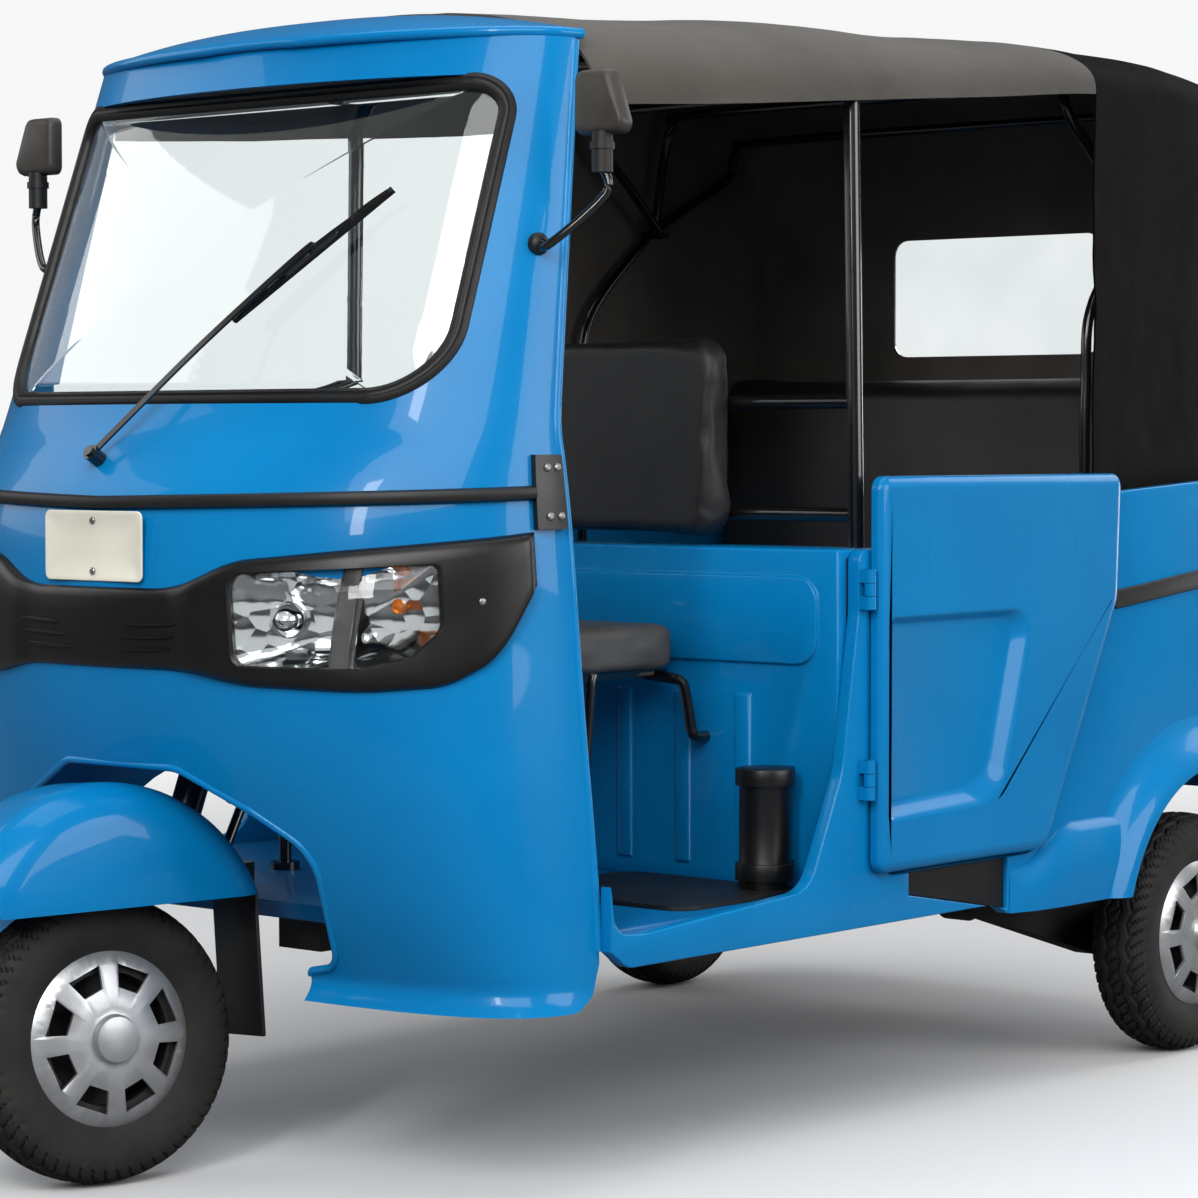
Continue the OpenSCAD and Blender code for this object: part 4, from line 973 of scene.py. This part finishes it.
# Wheel house: a tunnel behind the arch, open at the rear and cut for the steering column
HOUSE_REAR, HOUSE_MID, HOUSE_WALL = 320, 440, 5
front_edge = [Vector(front_surface(x, z, -16)) for x, z in arch_outline if z > 300]
house_rows = [[f.lerp(Vector((f.x, HOUSE_REAR, f.z)), k / 6) for f in front_edge] for k in range(7)]
grown = [[at(p + Vector((p.x, 0, p.z - HOUSE_MID)).normalized() * HOUSE_WALL) for p in row]
         for row in house_rows]
house = scratch("wheel_tunnel", *thick([[at(p) for p in row] for row in house_rows], grown))
COLUMN, COLUMN_FOOT = Vector((0, 0.374607, 0.927184)), Vector((0, 44, 207))
column_path = [at(COLUMN_FOOT + COLUMN * t) for t in (250, 560)]
cut(house, sweep(column_path, circle(0.034, 24), ACROSS))
# The tunnel takes the darker copy of the blue paint: painted shade
settle(house, shaded_inner_paint, ("wheel_house",), 35)

# Body sides: sheet with the door opening, flare, swelling rocker, a step recess holding a black plate as
# painted shade, and hinge knuckles
INNER_X, SIDE_X, SIDE_END, SILL_LOW = 600.5, 622.5, 2278, 300
LIP_R, TYRE_R = 296, 207
HINGE_X, HINGE_Y, HINGE_HEIGHTS = 636.5, 995, (837, 546)
arch_start = math.degrees(math.asin((SILL_LOW - TYRE_R) / LIP_R))
wheel_cut = [(WHEELBASE - LIP_R * math.cos(math.radians(a)), TYRE_R + LIP_R * math.sin(math.radians(a)), 0)
             for a in spaced(arch_start, 180 - arch_start, 40)]
SIDE_CORNERS = ([(404, 344, 0), (440, 318, 40), (1362, 318, 0), (1392, SILL_LOW, 0)] + wheel_cut +
                [(SIDE_END, SILL_LOW, 0), (SIDE_END, waist(SIDE_END), 0), (1706, waist(1706), 14),
                 (1698, 800, 60), (1481, 392, 60), (1050, 392, 30), (1046, 897, 8), (985, 897, 20),
                 (985, 800, 120), (945, 560, 120), (862, 388, 60), (480, 364, 60), (412, 368, 34),
                 (404, 438, 0)])
STEP_CORNERS = [(1119, 392), (1119, 356), (1392, 308), (1392, 392)]
STEP_SHADE_PLATE = [(1121, 390), (1121, 358), (1390, 310), (1390, 390)]
STEP_DEPTH = 14
# columns: radius about the wheel, distance from the middle
FLARE_SECTION = [(296, 601), (296, 664.2), (300, 664.4), (306, 664.2), (318, 660.5), (336, 645), (355, 630),
                 (370, 624.5), (385, 621.5), (385, 601)]
# columns: swelling, height above the sill
ROCKER_SECTION = [(0, 135), (6, 130), (14, 116), (20, 92), (24, 62), (24, 30), (22, 0)]
# columns: station, share of the swelling or of the height
ROCKER_SWELL = [(1396, 0.08), (1420, 0.4), (1450, 0.72), (1490, 0.92), (1540, 1), (1730, 1)]
ROCKER_TALL = [(1396, 0.5), (1450, 0.58), (1500, 0.8), (1540, 0.95), (1570, 1), (1730, 1)]


def drum(x, y, z, r, height, n=24):
    """Upright round bar between two heights about a middle height."""
    path = [at((x, y, z - height / 2)), at((x, y, z + height / 2))]
    return sweep(path, circle(r / 1000, n), ACROSS)


def bar_box(x0, x1, y0, y1, z0, z1):
    return side_prism([(y0, z0), (y1, z0), (y1, z1), (y0, z1)], x0, x1)


for name, side in SIDES:
    edge = rounded(SIDE_CORNERS, 8)
    panel = scratch("side_panel_" + name, *side_prism(edge, side * INNER_X, side * SIDE_X))
    cut(panel, side_prism(STEP_CORNERS, side * (SIDE_X - STEP_DEPTH), side * 700))
    bevelled(panel, 5, 25, 3)
    settle(panel, paint, ("body_side_" + name,), 45)
    # Black plate in the step recess: painted shade standing for the tapering sill, which is dark from shade
    make("step_shade_panel_" + name, *side_prism(STEP_SHADE_PLATE, side * (SIDE_X - STEP_DEPTH + 1), side * (SIDE_X - 7)),
         black_plastic)
    ring = []
    for a in spaced(14, 166, 72):
        c, t = math.cos(math.radians(a)), math.sin(math.radians(a))
        ring.append([at((side * x, WHEELBASE + r * c, TYRE_R + r * t)) for r, x in FLARE_SECTION])
    flare = scratch("wheel_flare_" + name, *rings_closed(ring))
    cut(flare, bar_box(side * 500, side * 800, 1400, 2600, 100, SILL_LOW),
        bar_box(side * 500, side * 800, SIDE_END, 2600, 100, 900))
    settle(flare, paint, (), 45)
    rows, back = [], []
    for y in spaced(1396, 1730, 24):
        swell, tall = table(y, ROCKER_SWELL), table(y, ROCKER_TALL)
        rows.append([at((side * (SIDE_X + w * swell), y, SILL_LOW + h * tall)) for w, h in ROCKER_SECTION])
        back.append([at((side * (SIDE_X - 1), y, SILL_LOW + h * tall)) for _, h in ROCKER_SECTION])
    make("rocker_" + name, *thick(rows, back), paint, (), 50)
    knuckles = []
    for z in HINGE_HEIGHTS:
        knuckles.append(drum(side * HINGE_X, HINGE_Y, z, 4, 60))
        for mid in (z + 20.5, z - 20.5):
            knuckles += [drum(side * HINGE_X, HINGE_Y, mid, 9, 20),
                         bar_box(side * (SIDE_X - 1), side * HINGE_X, HINGE_Y - 9, HINGE_Y,
                                 mid - 10, mid + 10)]
    make("hinge_brackets_" + name, *merged(knuckles), paint)

# Doors: pressed panels with a chamfered rim and a recess with sloping walls
DOOR_X, DOOR_T = 627.5, 22
DOOR_CORNERS = [(1010, 400, 22), (1472, 400, 40), (1684, 799, 60), (1694, 1009, 22), (1010, 1009, 22)]
RECESS_RIM = [(1032, 477, 12), (1290, 485, 50), (1350, 507, 60), (1425, 797, 40), (1032, 795, 12)]
RECESS_FLOOR = [(1040, 508, 10), (1240, 518, 40), (1302, 542, 45), (1384, 778, 30), (1040, 780, 10)]
RECESS_DEPTH = 16
# columns: inset of the rim, height over the inner face
DOOR_RIM = [(0, 0), (0, 9), (0.8, 12), (3, 15.5), (6.5, 18.2), (11, 20.4), (16, 21.7), (20, 22), (24, 22)]


def shrunk(corners, by):
    """Corners of a convex outline with every edge moved inwards."""
    moved = []
    for k, (y, z, r) in enumerate(corners):
        here, before = Vector((y, z)), Vector(corners[k - 1][:2])
        after = Vector(corners[(k + 1) % len(corners)][:2])
        u, w = (here - before).normalized(), (after - here).normalized()
        bend = u.x * w.y - u.y * w.x
        p = here + (w - u) * (by / bend)
        moved.append((p.x, p.y, max(r - by, 4)))
    return moved


for name, side in SIDES:
    rings = [[(x, y, z) for y, z in rounded(shrunk(DOOR_CORNERS, by), 8)] for by, x in DOOR_RIM]
    rim, deep = rounded(RECESS_RIM, 8), rounded(RECESS_FLOOR, 8)
    rings.append([(DOOR_T, y, z) for y, z in rounded(shrunk(RECESS_RIM, -5), 8)])
    for k in range(13):
        f = k / 12
        rings.append([(DOOR_T - RECESS_DEPTH * ease(f), a + (c - a) * f, b + (d - b) * f)
                      for (a, b), (c, d) in zip(rim, deep)])
    door = rings_closed([[at((side * (DOOR_X + x), y, z)) for x, y, z in ring] for ring in rings])
    make("door_panel_" + name, *door, paint, ("door_" + name,), 50, name + "_door")
    leaves = []
    for z in HINGE_HEIGHTS:
        leaves += [drum(side * HINGE_X, HINGE_Y, z, 9, 19),
                   bar_box(side * (DOOR_X + 1), side * (DOOR_X + 9), HINGE_Y, 1014, z - 9.5, z + 9.5)]
    make("door_leaves_" + name, *merged(leaves), paint, body=name + "_door")

# Floor mat and the lever beside the driver's seat
mat = rounded([(200, 640, 40), (560, 640, 40), (560, 940, 40), (200, 940, 40)], 8)
mat_rings = [[at((x, y, z)) for x, y in mat] for z in (373, 379)]
make("floor_mat", *rings_closed(mat_rings), rubber)
LEVER_X = 330
lever = (([(706, 708), (700, 690), (690, 600), (674, 500)], 8, 12),
         ([(675, 508), (668, 468), (661, 425)], 13, 16))
make("seat_lever", *merged([tube([(LEVER_X, y, z) for y, z in path], r, n) for path, r, n in lever]),
     black_paint)

# Hood frame: three bows of a folding hood on a pivot pin on each side, built here as one fixed piece, and the
# stays that carry it
PIVOT_Y, PIVOT_Z = 1905, 1455
BOW_R, STAY_X = 9, 559.5
STAY = [(PIVOT_Y, PIVOT_Z), (1735, 1300), (1712, 1150), (1710, 900), (1710, 602)]
bars = []
# columns: half width, station of the top, height of the top
for half, y, z in ((525.5, 1722, 1722), (545.5, 1930, 1728), (565.5, 2150, 1690)):
    foot = [(half, PIVOT_Y, PIVOT_Z), (half - 4, (PIVOT_Y + y) / 2, (PIVOT_Z + z - 110) / 2)]
    arch = foot + [(half - 8, y, z - 110), (half - 30, y, z - 62), (440, y, z - 42)]
    bars.append(tube(arch + [(-x, b, c) for x, b, c in reversed(arch)], BOW_R))
for side in (1, -1):
    bars.append(tube([(side * STAY_X, y, z) for y, z in STAY], BOW_R))
    pin = [at((side * x, PIVOT_Y, PIVOT_Z)) for x in (511, 573)]
    bars.append(sweep(pin, circle(0.005), Vector((0, 0, 1))))
make("hood_bows", *merged(bars), black_paint, ("hood_frame",))

# Tyres with a block tread
TREAD_REPEATS, SHOULDER_R, BLOCK_R = 30, 188, 172
GROOVE_LINES, GROOVE_DEPTH, BLOCK_DEPTH = (-30, -11, 11, 30), 6.5, 4.0
TYRE_PROFILE = [(104, -42), (112, -43), (122, -44), (138, -50), (150, -53), (165, -54), (182, -52),
                (192, -47.5), (199, -41), (203.5, -31), (206, -20), (207, -8), (207, 8), (206, 20),
                (203.5, 31), (199, 41), (192, 47.5), (182, 52), (165, 54), (150, 53), (138, 50), (122, 44),
                (112, 43), (104, 42)]


def zigzag(t):
    return 4 * abs((t % 1) - 0.5) - 1


def tread_depth(r, x, turn):
    """How deep a groove lies at a place on the tyre, in millimetres."""
    t = turn * TREAD_REPEATS / (2 * math.pi)
    slot = abs((t * 2 + x / 30) % 1 - 0.5) * 2
    if r > SHOULDER_R:
        best = 0.0
        for line in GROOVE_LINES:
            away = abs(x - line - 3.6 * zigzag(t + 0.25 * math.copysign(1, line)))
            best = max(best, 1 - ease((away - 2.2) / 1.6))
        if abs(x) > 31 or abs(x) < 9:
            best = max(best, 0.9 * (1 - ease((slot - 0.16) / 0.14)))
        return GROOVE_DEPTH * best
    if BLOCK_R < r <= SHOULDER_R:
        return BLOCK_DEPTH * (1 - ease((slot - 0.18) / 0.16)) * ease((r - BLOCK_R) / 10)
    return 1.2 * (math.sin((r - 130) / 2.6) > 0.85) if 128 < r < 150 else 0.0


def tyre(name, node, body, place):
    """Tyre with its grooves, about the X axis of a place."""
    profile = spline(TYRE_PROFILE, 4)
    fine = []
    for (r0, x0), (r1, x1) in zip(profile, profile[1:]):
        steps = 2 if min(r0, r1) > SHOULDER_R else 1
        fine += [(r0 + (r1 - r0) * k / steps, x0 + (x1 - x0) * k / steps) for k in range(steps)]
    fine.append(profile[-1])
    around = 360
    verts = []
    for r, x in fine:
        for k in range(around):
            a = 2 * math.pi * k / around
            q = r - tread_depth(r, x, a)
            verts.append(place @ Vector((x / 1000, q * math.cos(a) / 1000, q * math.sin(a) / 1000)))
    faces = grid_faces(len(fine), around, True)
    last = (len(fine) - 1) * around
    faces += [(last + k, last + (k + 1) % around, (k + 1) % around, k) for k in range(around)]
    make(name, verts, faces, tyre_rubber, (node,), 35, body)


def wheel_place(joint, turned=None):
    place = Matrix.Translation(Vector(joints[joint]["pos_m"]))
    return place @ turned if turned else place


STEER_REST = 14
steer_axis = -Vector(joints["steering_turn"]["axis"])
tyre("front_tread", "front_tyre", "front_wheel",
     wheel_place("front_wheel_spin", Matrix.Rotation(math.radians(-STEER_REST), 4, steer_axis)))
tyre("left_tread", "left_tyre", "left_wheel", wheel_place("left_wheel_spin"))
tyre("right_tread", "right_tyre", "right_wheel",
     wheel_place("right_wheel_spin", Matrix.Scale(-1, 4, ACROSS)))

# The floor pan and seat shelf take the darker copy of the blue paint: painted shade
# CAD nodes with rounded edges: node, finish, width of the rounding, body
for node, finish, width, body in [
        ("tail_panel", paint, 5, "body"), ("tail_lid", paint, 3, "rear_lid"), ("partition", paint, 4, "body"),
        ("floor_pan", shaded_inner_paint, 3, "body"), ("seat_shelf", shaded_inner_paint, 3, "body"),
        ("front_guard", paint, 1.5, "steering"), ("front_cover", silver, 1.2, "front_wheel"),
        ("left_cover", silver, 1.2, "left_wheel"), ("right_cover", silver, 1.2, "right_wheel"),
        ("canister", black_plastic, 2, "body"), ("side_strips", rubber, 2, "body"),
        ("tail_lamps", red_lens, 3, "body"), ("engine", alloy, 8, "body"),
        ("dashboard", black_plastic, 5, "body"), ("handlebar", black_plastic, 2, "steering"),
        ("mud_flap", rubber, 2, "steering"), ("hood_back", hood_black, 1.5, "body")]:
    piece = softened(node, finish, width, body)
    if node == "hood_back":
        lined(piece, lambda face: face.normal.y < -0.3)

# CAD nodes that keep their shape
for finish, names in [
        (black_paint, ("grab_rails", "seat_frame", "fork", "steering_head", "brake_pedal")),
        (housing, ("chassis_spine", "rear_arms")), (dark_steel, ("rear_dampers", "silencer")),
        (dark_steel, ("front_rim", "left_rim", "right_rim")), (soft_window, ("rear_window",))]:
    for name in names:
        finished(nodes[name].data, finish, 40)

# Floor, backdrop and light
BACKDROP = (0.93, 0.935, 0.94, 1)
FLOOR_BOUNCE = (0.18, 0.18, 0.185, 1)
# distances from the middle between which the floor passes into the backdrop
FLOOR_FADE = (2.4, 6.5)
FLOOR_HALF = 30


def floor_finish():
    """Floor that is pale to the camera, passes into the backdrop far off and throws back less light."""
    finish = plain("pale_floor", (232, 232, 232), (236, 236, 236), 0.6, (0.5, 0.6))
    tree = finish.material.node_tree

    def mixed(factor, first, second):
        node = tree.nodes.new("ShaderNodeMixShader")
        for socket, value in zip(node.inputs, (factor, first, second)):
            tree.links.new(value, socket)
        return node.outputs["Shader"]

    away = tree.nodes.new("ShaderNodeVectorMath")
    away.operation = "LENGTH"
    tree.links.new(tree.nodes.new("ShaderNodeNewGeometry").outputs["Position"], away.inputs[0])
    fade = tree.nodes.new("ShaderNodeMapRange")
    fade.interpolation_type = "SMOOTHSTEP"
    fade.inputs["From Min"].default_value, fade.inputs["From Max"].default_value = FLOOR_FADE
    tree.links.new(away.outputs["Value"], fade.inputs["Value"])
    haze = tree.nodes.new("ShaderNodeEmission")
    haze.inputs["Color"].default_value = BACKDROP
    dim = tree.nodes.new("ShaderNodeBsdfDiffuse")
    dim.inputs["Color"].default_value = FLOOR_BOUNCE
    seen = mixed(fade.outputs["Result"], finish.shader.outputs["BSDF"], haze.outputs["Emission"])
    rays = tree.nodes.new("ShaderNodeLightPath")
    surface = mixed(rays.outputs["Is Camera Ray"], dim.outputs["BSDF"], seen)
    tree.links.new(surface, tree.nodes["Material Output"].inputs["Surface"])
    return finish


floor_corners = [(x * FLOOR_HALF, y * FLOOR_HALF, 0) for x, y in ((-1, -1), (1, -1), (1, 1), (-1, 1))]
floor = placed("floor", mesh_of("floor", floor_corners, [(0, 1, 2, 3)]))
floor.data.materials.append(floor_finish().material)


def studio_world(ambient, reflected, seen):
    """Pale backdrop for the camera and through glass, with weaker light and dim reflections from the room."""
    world = bpy.data.worlds.new("studio")
    world.use_nodes = True
    bpy.context.scene.world = world
    tree = world.node_tree
    rays = tree.nodes.new("ShaderNodeLightPath")
    sky = tree.nodes["Background"]

    def pick(ray, inside, outside):
        mix = tree.nodes.new("ShaderNodeMix")
        mix.data_type = "RGBA"
        tree.links.new(rays.outputs[ray], mix.inputs["Factor"])
        for socket, value in ((mix.inputs["B"], inside), (mix.inputs["A"], outside)):
            if isinstance(value, tuple):
                socket.default_value = value
            else:
                tree.links.new(value, socket)
        return mix.outputs["Result"]

    colour = pick("Is Glossy Ray", reflected, ambient)
    colour = pick("Is Transmission Ray", seen, colour)
    colour = pick("Is Camera Ray", seen, colour)
    tree.links.new(colour, sky.inputs["Color"])
    sky.inputs["Strength"].default_value = 1


studio_world((0.34, 0.35, 0.36, 1), (0.10, 0.10, 0.105, 1), BACKDROP)


def softbox(name, place, target, size, power):
    data = bpy.data.lights.new(name, "AREA")
    data.shape = "RECTANGLE"
    data.size, data.size_y = size
    data.energy = power
    light = placed(name, data)
    light.location = place
    light.rotation_euler = (Vector(target) - Vector(place)).to_track_quat("-Z", "Y").to_euler()


softbox("key", (3.6, -4.6, 4.2), (0, -0.4, 0.8), (4.6, 3.6), 225)
softbox("side", (5.2, 0.9, 2.2), (0, 0.3, 0.8), (3.4, 2.4), 118)
softbox("rim", (1.4, 5.2, 1.0), (0.7, 0.3, 0.7), (0.9, 1.4), 30)
softbox("strip", (1.9, -4.4, 2.8), (0, -1.0, 0.9), (0.34, 2.4), 52)
softbox("fill", (-4.6, -2.6, 3.0), (0, 0, 0.8), (4.2, 3.4), 68)
softbox("top", (0, 0.2, 5.0), (0, 0, 0), (4.4, 4.4), 100)
softbox("back", (1.2, 5.0, 3.4), (0, 0.6, 0.9), (3.4, 2.4), 66)

bpy.context.scene.view_settings.view_transform = "Standard"
